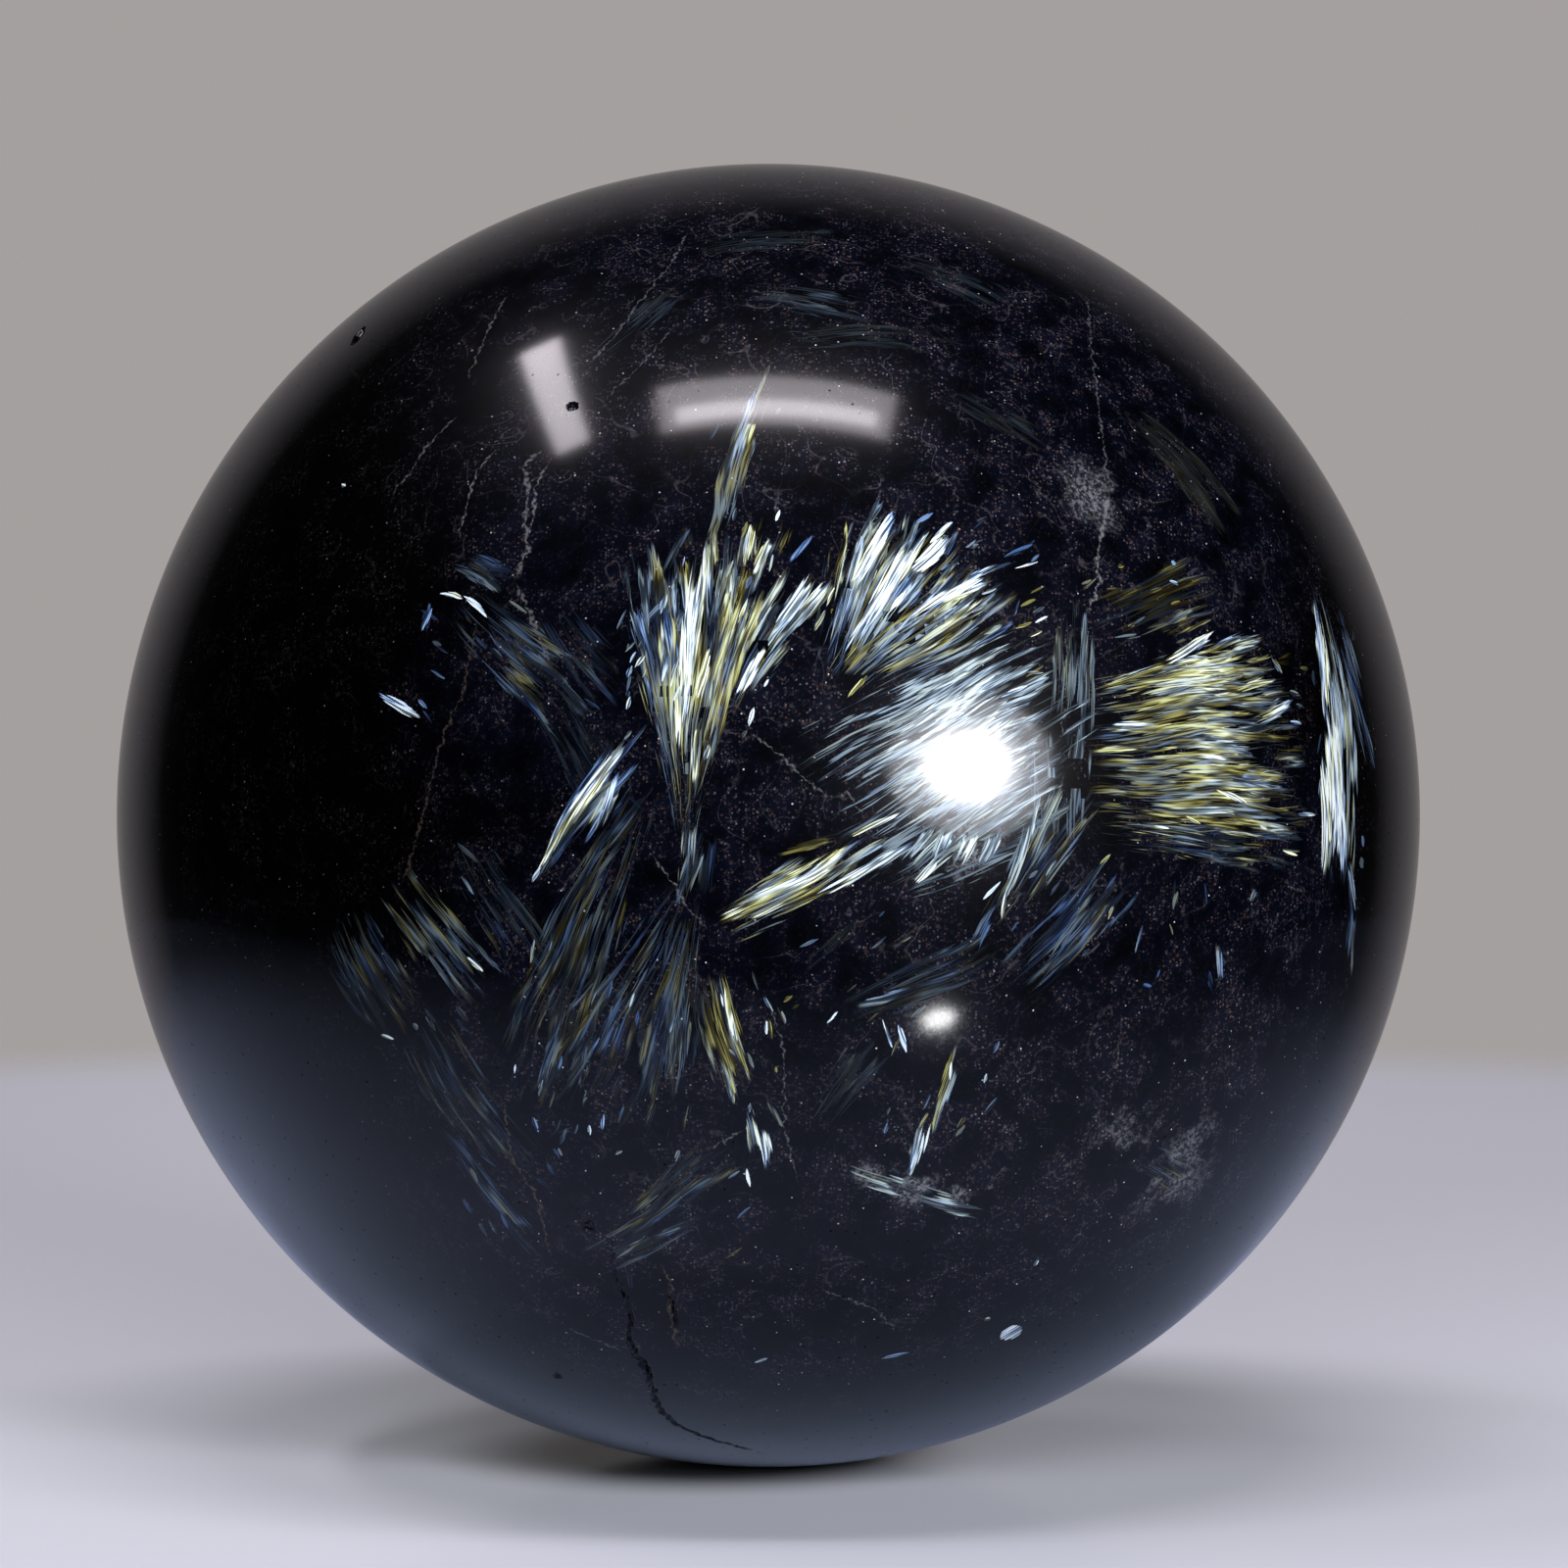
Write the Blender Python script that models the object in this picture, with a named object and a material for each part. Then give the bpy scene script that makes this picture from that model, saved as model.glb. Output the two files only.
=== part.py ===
"""Arfvedsonite ball: one piece of black stone, ground round and polished, 60 mm across.

Metres, +Z up. The origin is the middle of the small flat that the ball stands on. The side
with the big blue flashes is the front and faces -Y.
"""

import math

import bmesh
import bpy
from mathutils import Matrix, Vector

# The ball and the flat that it stands on.
BALL_RADIUS = 0.030
FOOT_RADIUS = 0.0035
SEGMENTS = 80  # round the ball, a multiple of four, so that it reaches its full width each way
RINGS = 40  # from the lowest point to the highest
CENTRE = Vector((0, 0, math.sqrt(BALL_RADIUS**2 - FOOT_RADIUS**2)))

# The front view that the crack and the chips are placed in: the ball's circle in pixels, and
# where the eye stands.
VIEW_CIRCLE = (784, 832, 665)
VIEW_DISTANCE = 0.5
VIEW_ELEVATION = math.radians(5)

# The open crack runs down the lower left and under the ball.
OPEN_CRACK = [
    (565, 1204), (601, 1252), (623, 1267), (627, 1300), (642, 1332), (645, 1350),
    (641, 1367), (661, 1399), (666, 1420), (674, 1438), (689, 1453), (710, 1463),
    (739, 1472), (768, 1480), (787, 1486),
]
SIDE_CRACK = [(683, 1306), (683, 1321), (687, 1338), (690, 1350), (692, 1364)]
CRACK_WIDTH = 0.00038
CRACK_DEPTH = 0.00040
CRACK_ENDS = 0.3  # width and depth at a crack's ends, as a share of those at its middle

# Each chip: its middle in the front view, half its length and half its width, and how far
# its length is turned from level.
CHIPS = {
    "pit": ((585, 415), 0.00030, 0.00026, 0),
    "edge_nick": ((366, 342), 0.00075, 0.00032, -50),
    "crack_chip_high": ((601, 1251), 0.00034, 0.00024, -35),
    "crack_chip_mid": ((643, 1334), 0.00040, 0.00025, -70),
    "crack_chip_low": ((666, 1419), 0.00036, 0.00024, -65),
    "side_chip": ((684, 1321), 0.00030, 0.00020, 80),
    "low_pit": ((568, 1404), 0.00030, 0.00022, 60),
}
CHIP_SQUASH = 0.8  # depth of a chip against half its width


def on_ball(pixel):
    """The point of the ball's surface that the front view has at this pixel."""
    across, down, radius = VIEW_CIRCLE
    right = Vector((1, 0, 0))
    away = Vector((0, math.cos(VIEW_ELEVATION), -math.sin(VIEW_ELEVATION)))
    up = right.cross(away)
    eye = CENTRE - VIEW_DISTANCE * away
    spread = BALL_RADIUS / math.sqrt(VIEW_DISTANCE**2 - BALL_RADIUS**2) / radius
    ray = away + spread * ((pixel[0] - across) * right + (down - pixel[1]) * up)
    ray.normalize()
    nearest = -(eye - CENTRE).dot(ray)
    half_chord = math.sqrt(BALL_RADIUS**2 - VIEW_DISTANCE**2 + nearest**2)
    return eye + (nearest - half_chord) * ray


def material(name, colour, roughness):
    """A plain finish for one piece."""
    finish = bpy.data.materials.new(name)
    finish.use_nodes = True
    shader = finish.node_tree.nodes["Principled BSDF"]
    shader.inputs["Base Color"].default_value = (*colour, 1)
    shader.inputs["Roughness"].default_value = roughness
    shader.inputs["Metallic"].default_value = 0
    return finish


def new_object(name, bm):
    """An object of this name that holds the built shape."""
    mesh = bpy.data.meshes.new(name)
    bmesh.ops.recalc_face_normals(bm, faces=bm.faces)
    bm.to_mesh(mesh)
    bm.free()
    piece = bpy.data.objects.new(name, mesh)
    bpy.context.scene.collection.objects.link(piece)
    return piece


def make_ball():
    """The ground ball, cut off flat where it stands."""
    bm = bmesh.new()
    bmesh.ops.create_uvsphere(
        bm,
        u_segments=SEGMENTS,
        v_segments=RINGS,
        radius=BALL_RADIUS,
        matrix=Matrix.Translation(CENTRE),
    )
    cut = bmesh.ops.bisect_plane(
        bm,
        geom=[*bm.verts, *bm.edges, *bm.faces],
        plane_co=(0, 0, 0),
        plane_no=(0, 0, -1),
        clear_outer=True,
    )
    rim = [part for part in cut["geom_cut"] if isinstance(part, bmesh.types.BMEdge)]
    bmesh.ops.contextual_create(bm, geom=rim)
    ball = new_object("stone_ball", bm)
    ball.data.shade_smooth()
    ball.data.set_sharp_from_angle(angle=math.radians(20))
    ball.data.materials.append(material("black_stone", (0.012, 0.013, 0.022), 0.12))
    return ball


def crack_cutter(name, pixels):
    """A wedge that follows the crack, widest and deepest at its middle."""
    path = [on_ball(pixel) for pixel in pixels]
    bm = bmesh.new()
    rings = []
    for i, point in enumerate(path):
        along = (path[min(i + 1, len(path) - 1)] - path[max(i - 1, 0)]).normalized()
        out = (point - CENTRE).normalized()
        side = along.cross(out)
        swell = math.sin(math.pi * i / (len(path) - 1))
        size = CRACK_ENDS + (1 - CRACK_ENDS) * swell
        # The wedge opens as it leaves the stone, so its sides stand clear of the surface.
        lip = point + CRACK_DEPTH * size * out
        rings.append(
            [
                bm.verts.new(point - CRACK_DEPTH * size * out),
                bm.verts.new(lip + CRACK_WIDTH * size * side),
                bm.verts.new(lip - CRACK_WIDTH * size * side),
            ]
        )
    for near, far in zip(rings, rings[1:]):
        for a, b in ((0, 1), (1, 2), (2, 0)):
            bm.faces.new([near[a], near[b], far[b], far[a]])
    bm.faces.new(rings[0])
    bm.faces.new(rings[-1])
    return new_object(name, bm)


def chip_cutter(name, pixel, half_length, half_width, turn):
    """A small rounded bite, sunk in the surface by half of its body."""
    point = on_ball(pixel)
    out = (point - CENTRE).normalized()
    level = Vector((0, 0, 1)).cross(out).normalized()
    upward = out.cross(level)
    facing = Matrix((level, upward, out)).transposed().to_4x4()
    bm = bmesh.new()
    bmesh.ops.create_icosphere(
        bm,
        subdivisions=1,
        radius=1,
        matrix=Matrix.Translation(point)
        @ facing
        @ Matrix.Rotation(math.radians(turn), 4, "Z")
        @ Matrix.Diagonal((half_length, half_width, CHIP_SQUASH * half_width, 1)),
    )
    return new_object(name, bm)


def cut_away(ball, cutter):
    """Takes the cutter's shape out of the ball, and keeps the cutter as a hidden guide."""
    cutter.hide_render = True
    cutter.display_type = "WIRE"
    cut = ball.modifiers.new(cutter.name, "BOOLEAN")
    cut.operation = "DIFFERENCE"
    cut.solver = "EXACT"
    cut.object = cutter


def main():
    for obj in list(bpy.data.objects):
        bpy.data.objects.remove(obj)
    ball = make_ball()
    cut_away(ball, crack_cutter("open_crack", OPEN_CRACK))
    cut_away(ball, crack_cutter("side_crack", SIDE_CRACK))
    for name, chip in CHIPS.items():
        cut_away(ball, chip_cutter(name, *chip))


main()
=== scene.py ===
# %% [markdown]
# # A polished arfvedsonite ball
# Arfvedsonite is a black mineral that grows in sprays of long, thin blades. A polished ball of it
# looks like black glass until light strikes along the blades, which then flash blue, white and
# greenish gold. Nearly all of the likeness is in three things: the very smooth polish over a
# near-black body, the flashes, and a few small lamps that the polish mirrors.
#
# The first cell loads the solid that the finished surface has to follow, and reads its size.

import math
from collections import namedtuple

import bmesh
import bpy
import numpy as np
from mathutils import Matrix, Vector, noise


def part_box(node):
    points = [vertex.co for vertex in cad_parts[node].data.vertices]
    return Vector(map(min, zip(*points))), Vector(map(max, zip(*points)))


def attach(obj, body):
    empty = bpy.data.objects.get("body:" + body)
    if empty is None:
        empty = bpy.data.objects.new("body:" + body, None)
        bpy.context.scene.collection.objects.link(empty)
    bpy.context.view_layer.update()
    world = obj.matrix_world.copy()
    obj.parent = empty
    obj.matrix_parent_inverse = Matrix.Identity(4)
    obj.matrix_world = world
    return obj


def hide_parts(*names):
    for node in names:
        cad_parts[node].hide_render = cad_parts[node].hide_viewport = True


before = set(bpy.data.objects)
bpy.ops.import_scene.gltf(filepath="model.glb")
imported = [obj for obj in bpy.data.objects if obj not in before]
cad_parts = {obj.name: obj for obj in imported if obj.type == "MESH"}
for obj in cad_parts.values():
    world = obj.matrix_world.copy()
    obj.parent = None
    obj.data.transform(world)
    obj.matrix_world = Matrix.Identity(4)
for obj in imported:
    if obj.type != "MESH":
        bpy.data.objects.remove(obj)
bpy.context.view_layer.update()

BALL_NODE = "stone_ball"
low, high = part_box(BALL_NODE)
BALL_RADIUS = (high[0] - low[0]) / 2
CENTRE = Vector((0, 0, high[2] - BALL_RADIUS))
FOOT_RADIUS = math.sqrt(BALL_RADIUS**2 - CENTRE.z**2)
MM = 0.001
print(f"ball {BALL_RADIUS * 2 / MM:.1f} mm across, on a flat {FOOT_RADIUS * 2 / MM:.1f} mm across")

# %% [markdown]
# ## The camera
# The picture is a close-up, taken from almost level with the middle of the ball. A long lens from
# half a metre away gives the same flat perspective. The ball's circle in the picture fixes both
# the focal length and the small shift that puts the ball a little low and left of the middle.
# The same numbers let a later cell turn a place in the picture into a place on the stone.

# %% Camera
PHOTO_SIZE = 1600
BALL_CIRCLE = (784, 832, 665)  # middle across, middle down and radius, in pixels
VIEW_DISTANCE = 0.5
VIEW_ELEVATION = math.radians(5)

RIGHT = Vector((1, 0, 0))
AWAY = Vector((0, math.cos(VIEW_ELEVATION), -math.sin(VIEW_ELEVATION)))
UP = RIGHT.cross(AWAY)
EYE = CENTRE - VIEW_DISTANCE * AWAY
PIXEL_SLOPE = BALL_RADIUS / math.sqrt(VIEW_DISTANCE**2 - BALL_RADIUS**2) / BALL_CIRCLE[2]


def turned(across, upward, facing):
    """The rotation whose X, Y and Z axes are these three."""
    return Matrix((across, upward, facing)).transposed().to_4x4()


lens = bpy.data.cameras.new("camera")
lens.sensor_width = 36
lens.lens = lens.sensor_width / (PHOTO_SIZE * PIXEL_SLOPE)
lens.shift_x = (PHOTO_SIZE / 2 - BALL_CIRCLE[0]) / PHOTO_SIZE
lens.shift_y = (BALL_CIRCLE[1] - PHOTO_SIZE / 2) / PHOTO_SIZE
camera = bpy.data.objects.new("camera", lens)
camera.matrix_world = Matrix.Translation(EYE) @ turned(RIGHT, UP, -AWAY)
bpy.context.scene.collection.objects.link(camera)
bpy.context.scene.camera = camera
bpy.context.scene.view_settings.view_transform = "Standard"


def on_ball(pixel):
    """The direction, from the ball's middle, of the point that the picture shows here."""
    across, down, _ = BALL_CIRCLE
    ray = AWAY + PIXEL_SLOPE * ((pixel[0] - across) * RIGHT + (down - pixel[1]) * UP)
    ray.normalize()
    nearest = VIEW_DISTANCE * AWAY.dot(ray)
    half_chord = math.sqrt(max(BALL_RADIUS**2 - VIEW_DISTANCE**2 + nearest**2, 0))
    return (EYE + (nearest - half_chord) * ray - CENTRE).normalized()


print(f"lens {lens.lens:.0f} mm")

# %% [markdown]
# ## Small helpers for shader nodes
# Every finish below is built from nodes in code. Four helpers keep those cells short: one adds a
# node and joins its inputs, one does arithmetic, one turns a range of values into a soft step,
# and one makes a reusable group with named sockets.

# %% Node helpers
def put(tree, kind, inputs=None, **settings):
    """Adds a node, with inputs given as numbers, colours or sockets of other nodes."""
    node = tree.nodes.new("ShaderNode" + kind)
    for name, value in settings.items():
        setattr(node, name, value)
    for name, value in (inputs or {}).items():
        if isinstance(value, bpy.types.NodeSocket):
            tree.links.new(value, node.inputs[name])
        else:
            node.inputs[name].default_value = value
    return node


def maths(tree, operation, *values, clamp=False):
    """One step of arithmetic on numbers or sockets."""
    node = put(tree, "Math", dict(enumerate(values)), operation=operation, use_clamp=clamp)
    return node.outputs[0]


def step(tree, value, start, end, low=0.0, high=1.0):
    """A soft step from low to high as value goes from start to end."""
    inputs = {"Value": value, "From Min": start, "From Max": end, "To Min": low, "To Max": high}
    return put(tree, "MapRange", inputs, interpolation_type="SMOOTHSTEP").outputs["Result"]


def shades(tree, value, stops):
    """A colour ramp through (place, colour) stops."""
    node = put(tree, "ValToRGB", {"Fac": value})
    elements = node.color_ramp.elements
    while len(elements) < len(stops):
        elements.new(1)
    for element, (place, colour) in zip(elements, stops):
        element.position = place
        element.color = (*colour, 1)
    return node.outputs["Color"]


def blend(tree, factor, first, second, how="MIX"):
    """One colour mixed into another."""
    node = put(tree, "Mix", data_type="RGBA", blend_type=how, clamp_factor=True)
    for index, value in ((0, factor), (6, first), (7, second)):
        if isinstance(value, bpy.types.NodeSocket):
            tree.links.new(value, node.inputs[index])
        elif index:
            node.inputs[index].default_value = (*value, 1)
        else:
            node.inputs[index].default_value = value
    return node.outputs[2]


def group_of(name, takes, gives):
    """A new node group, with the nodes that hold its inputs and its outputs."""
    group = bpy.data.node_groups.new(name, "ShaderNodeTree")
    for label, kind in takes.items():
        group.interface.new_socket(label, in_out="INPUT", socket_type="NodeSocket" + kind)
    for label, kind in gives.items():
        group.interface.new_socket(label, in_out="OUTPUT", socket_type="NodeSocket" + kind)
    return group, group.nodes.new("NodeGroupInput"), group.nodes.new("NodeGroupOutput")


def new_material(name):
    """An empty node material with a Principled shader, and its tree."""
    finish = bpy.data.materials.new(name)
    finish.use_nodes = True
    return finish, finish.node_tree, finish.node_tree.nodes["Principled BSDF"]


# %% [markdown]
# ## The pale floor and what the polish sees
# A black, polished ball shows its surroundings more than itself. It stands on a pale floor, which
# it mirrors as the blue-grey glow along its underside. The floor fades out ahead of the ball, so
# the front of the stone mirrors nothing and stays black. Right under the ball a contact shadow is
# painted into the floor's colour, because the real floor is black there and the wide lamps would
# light it. Behind the ball a card that glows by itself, its light painted as a gradient from the
# middle to the edge, gives the thin grey band just inside the outline. The card is seen only in
# reflections, and the world's own pale grey is seen only by the camera.

# %% Floor, card and world
FLOOR_RADIUS = 0.5
PALE_FLOOR = (0.76, 0.785, 0.87)
# A contact shadow is painted into the floor's colour, darkest where the ball rests.
PAINTED_SHADOW_MIDDLE = (-0.003, 0, 0)  # the floor is darkest where the ball rests
PAINTED_SHADOW_RADII = (0.0055, 0.0135)
PAINTED_SHADOW_DARKNESS = 0.93
MIRRORED_FLOOR = (0.41, 0.49, 0.70)  # the stone mirrors it bluer than it is seen directly
POOL_MIDDLE = (0, 0.05, 0)  # the floor's lit pool lies a little behind the ball
POOL_RADII = (0.110, 0.135)
MIRROR_MIDDLE = (-0.012, 0.016, 0)  # the stone mirrors the left of the floor more
BRIGHT_RADII = (0.02, 0.108)
MIRRORED_LESS = 0.92  # how much of the floor beyond those the stone doesn't mirror
BACKGROUND = (0.375, 0.352, 0.345)
CARD_DISTANCE = 0.35
CARD_RADIUS = 0.40
CARD_GLOW = [  # share of the card's radius, and how it glows there
    (0, (0.36, 0.34, 0.335)),
    (0.25, (0.20, 0.185, 0.19)),
    (0.62, (0.13, 0.12, 0.13)),
    (0.85, (0.05, 0.047, 0.052)),
    (1, (0, 0, 0)),
]


def disc(name, radius, matrix):
    """A round flat sheet."""
    bm = bmesh.new()
    bmesh.ops.create_circle(bm, cap_ends=True, radius=radius, segments=96)
    mesh = bpy.data.meshes.new(name)
    bm.to_mesh(mesh)
    bm.free()
    sheet = bpy.data.objects.new(name, mesh)
    sheet.matrix_world = matrix
    bpy.context.scene.collection.objects.link(sheet)
    return sheet


def distance_in(tree, middle):
    """How far, in the object's own frame, each point is from the middle."""
    place = put(tree, "TexCoord").outputs["Object"]
    away = put(tree, "VectorMath", {0: place, 1: middle}, operation="DISTANCE")
    return away.outputs["Value"]


floor = disc("floor", FLOOR_RADIUS, Matrix.Identity(4))
finish, tree, shader = new_material("pale_floor")
shader.inputs["Roughness"].default_value = 0.15
shader.inputs["Specular IOR Level"].default_value = 0.01
clear = put(tree, "BsdfTransparent")
reach = distance_in(tree, POOL_MIDDLE)
seen = put(tree, "LightPath").outputs["Is Camera Ray"]
# The painted contact shadow darkens the floor's colour round where the ball rests.
painted_shadow = step(tree, distance_in(tree, PAINTED_SHADOW_MIDDLE), *PAINTED_SHADOW_RADII, PAINTED_SHADOW_DARKNESS, 0.0)
direct = blend(tree, painted_shadow, PALE_FLOOR, (0, 0, 0))
tree.links.new(blend(tree, seen, MIRRORED_FLOOR, direct), shader.inputs["Base Color"])
lost = step(tree, distance_in(tree, MIRROR_MIDDLE), *BRIGHT_RADII, 0.0, MIRRORED_LESS)
dimmed = maths(tree, "SUBTRACT", lost, seen, clamp=True)
fade = maths(tree, "MAXIMUM", step(tree, reach, *POOL_RADII), dimmed)
surface = put(tree, "MixShader", {0: fade, 1: shader.outputs[0], 2: clear.outputs[0]})
tree.links.new(surface.outputs[0], tree.nodes["Material Output"].inputs["Surface"])
floor.data.materials.append(finish)

card = disc(
    "card_behind",
    CARD_RADIUS,
    Matrix.Translation((0, CARD_DISTANCE, 0)) @ Matrix.Rotation(math.radians(90), 4, "X"),
)
card.visible_camera = False
# The card glows by itself, and its light is painted as a gradient from a bright middle to a black
# edge.
finish, tree, _ = new_material("glowing_card")
reach = distance_in(tree, (0, 0, 0))
glow = shades(tree, maths(tree, "DIVIDE", reach, CARD_RADIUS), CARD_GLOW)
light = put(tree, "Emission", {"Color": glow, "Strength": 1.0})
tree.links.new(light.outputs[0], tree.nodes["Material Output"].inputs["Surface"])
card.data.materials.append(finish)

world = bpy.data.worlds.new("surroundings")
world.use_nodes = True
seen = put(world.node_tree, "LightPath").outputs["Is Camera Ray"]
backdrop = world.node_tree.nodes["Background"]
backdrop.inputs["Color"].default_value = (*BACKGROUND, 1)
world.node_tree.links.new(seen, backdrop.inputs["Strength"])
bpy.context.scene.world = world
print(f"floor {FLOOR_RADIUS} m, lit pool {POOL_RADII[0]} to {POOL_RADII[1]} m")

# %% [markdown]
# ## Lamps placed by their reflections
# Each highlight on a mirror-like ball says where its lamp stood: the line of sight bounces off
# the stone at the highlight, and the lamp is somewhere along that bounce. So the lamps are placed
# by the four edges of their reflections. Two strip lamps hang overhead, one with a brighter tube
# in it. A softbox stands close to the camera on its right, with the paler glow of its cloth round
# it, and a small lamp stands below it. Two wide lamps fill in from the front and from behind, so
# that the flashes are lit all round, and the polish doesn't mirror those two.

# %% Lamps
def bounce(pixel, distance):
    """The point in space, this far away, that the polish mirrors at this pixel."""
    outward = on_ball(pixel)
    point = CENTRE + BALL_RADIUS * outward
    sight = (point - EYE).normalized()
    return point + distance * sight.reflect(outward)


def lamp(name, place, target, across, size, radiance, colour, shape="RECTANGLE"):
    """A flat lamp at place, facing target, with its X side along across."""
    facing = (place - target).normalized()
    upward = facing.cross(across).normalized()
    area = bpy.data.lights.new(name, "AREA")
    area.shape = shape
    area.size, area.size_y = size
    area.energy = radiance * math.pi * size[0] * size[1]
    area.color = colour
    light = bpy.data.objects.new(name, area)
    light.matrix_world = Matrix.Translation(place) @ turned(upward.cross(facing), upward, facing)
    bpy.context.scene.collection.objects.link(light)
    return light


def mirrored_lamp(name, left, right, top, bottom, distance, radiance, colour, shape="RECTANGLE"):
    """A lamp whose reflection in the ball reaches these four pixels."""
    ends = [bounce(pixel, distance) for pixel in (left, right, top, bottom)]
    place = sum(ends, Vector()) / len(ends)
    size = ((ends[1] - ends[0]).length, (ends[3] - ends[2]).length)
    return lamp(name, place, CENTRE, ends[1] - ends[0], size, radiance, colour, shape)


SOFT_PINK, SOFT_BLUE = (1, 0.93, 0.99), (0.93, 0.93, 1)
MIRRORED_LAMPS = [
    # name, left, right, top and bottom of its reflection, distance, radiance, colour, shape
    ("softbox", (944, 783), (1030, 777), (986, 749), (990, 815), 0.6, 30, (1, 0.98, 1), "ELLIPSE"),
    ("softbox_edge", (930, 784), (1044, 776), (986, 736), (990, 828), 0.61, 7, (0.96, 0.96, 1),
     "ELLIPSE"),
    ("softbox_glow", (908, 786), (1074, 775), (985, 712), (990, 852), 0.62, 6, SOFT_BLUE,
     "ELLIPSE"),
    ("strip_overhead", (670, 416), (914, 424), (790, 388), (792, 436), 0.5, 7, SOFT_PINK),
    ("strip_overhead_tube", (690, 425), (898, 430), (790, 408), (791, 424), 0.49, 14, (1, 0.95, 1)),
    ("small_lamp", (942, 1042), (974, 1037), (957, 1031), (958, 1049), 0.5, 44, (1, 1, 1),
     "ELLIPSE"),
    ("strip_left", (549, 351), (584, 456), (585, 398), (549, 408), 0.5, 14, SOFT_PINK),
]
FILL_LAMPS = [
    # name, place, size, radiance, colour
    ("fill_front", (-0.17, -0.66, 0.26), (0.6, 0.3), 6.0, (0.96, 0.98, 1)),
    ("fill_back", (-0.25, 0.60, 0.50), (0.6, 0.4), 2.4, (1, 0.98, 0.96)),
]
for row in MIRRORED_LAMPS:
    mirrored_lamp(*row)
for name, place, *rest in FILL_LAMPS:
    fill = lamp(name, Vector(place), CENTRE, RIGHT, *rest)
    fill.visible_glossy = False
print(f"{len(MIRRORED_LAMPS)} mirrored lamps and {len(FILL_LAMPS)} fill lamps")

# %% [markdown]
# ## The ball's surface
# A ball could be a UV sphere, but its faces crowd together at the poles and its flat texture map
# is badly stretched. A cube whose six sides are bulged out has nearly square faces all over, and
# six square charts for a map. Near the open crack and the chips the faces are divided again, so
# that the damage is real relief. The damage sits where the solid has it.

# %% Where the stone is damaged
OPEN_CRACK = [
    (565, 1204), (601, 1252), (623, 1267), (627, 1300), (642, 1332), (645, 1350),
    (641, 1367), (661, 1399), (666, 1420), (674, 1438), (689, 1453), (710, 1463),
    (739, 1472), (768, 1480), (787, 1486),
]
SIDE_CRACK = [(683, 1306), (683, 1321), (687, 1338), (690, 1350), (692, 1364)]
CRACK_HALF_WIDTH = 0.16 * MM
CRACK_DEPTH = 0.35 * MM

# Each chip: its middle, half its length and half its width, and how far it is turned from level.
CHIPS = [
    ((585, 415), 0.30 * MM, 0.26 * MM, 0),
    ((366, 342), 0.75 * MM, 0.32 * MM, -50),
    ((601, 1251), 0.34 * MM, 0.24 * MM, -35),
    ((643, 1334), 0.40 * MM, 0.25 * MM, -70),
    ((666, 1419), 0.36 * MM, 0.24 * MM, -65),
    ((684, 1321), 0.30 * MM, 0.20 * MM, 80),
    ((568, 1404), 0.30 * MM, 0.22 * MM, 60),
]


def crack_depth(points, pixels):
    """How deep the open crack is at each point, and zero away from it."""
    path = np.array([BALL_RADIUS * on_ball(pixel) for pixel in pixels])
    depth = np.zeros(len(points))
    for i, (start, end) in enumerate(zip(path, path[1:])):
        run = end - start
        share = np.clip((points - start) @ run / (run @ run), 0, 1)
        off = np.linalg.norm(points - start - share[:, None] * run, axis=1)
        swell = np.sin(math.pi * (i + share) / (len(path) - 1))
        half = CRACK_HALF_WIDTH * (0.45 + 0.55 * swell)
        depth = np.maximum(depth, CRACK_DEPTH * swell * np.clip(1.25 - 1.25 * off / half, 0, 1))
    return depth


def chip_depth(points, pixel, half_length, half_width, turn):
    """How deep a rounded chip is at each point."""
    outward = on_ball(pixel)
    level = Vector((0, 0, 1)).cross(outward).normalized()
    along = Matrix.Rotation(math.radians(turn), 3, outward) @ level
    aside = outward.cross(along)
    spot = points - np.array(BALL_RADIUS * outward)
    reach = (spot @ along / half_length) ** 2 + (spot @ aside / half_width) ** 2
    return 0.7 * half_width * np.sqrt(np.clip(1 - reach, 0, 1))


print(f"{len(CHIPS)} chips and 2 open cracks")

# %% Mesh of the ball
SIDE_STEPS = 96  # faces along each side of the cube, an even number
FINE_STEPS = 4  # extra cuts across each face near the damage
FINE_REACH = 0.9 * MM
ROUGHNESS_SEED = 4  # without a seed, Blender's noise changes with the clock
CHARTS = {(0, 1): 0, (0, -1): 1, (1, 1): 2, (1, -1): 3, (2, 1): 4, (2, -1): 5}
CHART_MARGIN = 0.012


def bulged(point):
    """The direction on the ball of a point on the cube."""
    return Vector([math.tan(value * math.pi / 4) for value in point]).normalized()


def divide_near_damage(bm):
    """Cuts the faces near the crack and the chips into smaller ones."""
    spots = [on_ball(pixel) for pixel in OPEN_CRACK + SIDE_CRACK]
    spots += [(a + b).normalized() for a, b in zip(spots, spots[1:])]
    spots += [on_ball(chip[0]) for chip in CHIPS]
    spots = np.array(spots) * BALL_RADIUS
    faces = list(bm.faces)
    middles = np.array([bulged(face.calc_center_median()) for face in faces]) * BALL_RADIUS
    near = np.zeros(len(faces), bool)
    for spot in spots:
        near |= np.linalg.norm(middles - spot, axis=1) < FINE_REACH
    edges = {edge for face, close in zip(faces, near) if close for edge in face.edges}
    bmesh.ops.subdivide_edges(bm, edges=list(edges), cuts=FINE_STEPS, use_grid_fill=True)
    bmesh.ops.triangulate(bm, faces=[face for face in bm.faces if len(face.verts) > 4])


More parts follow.
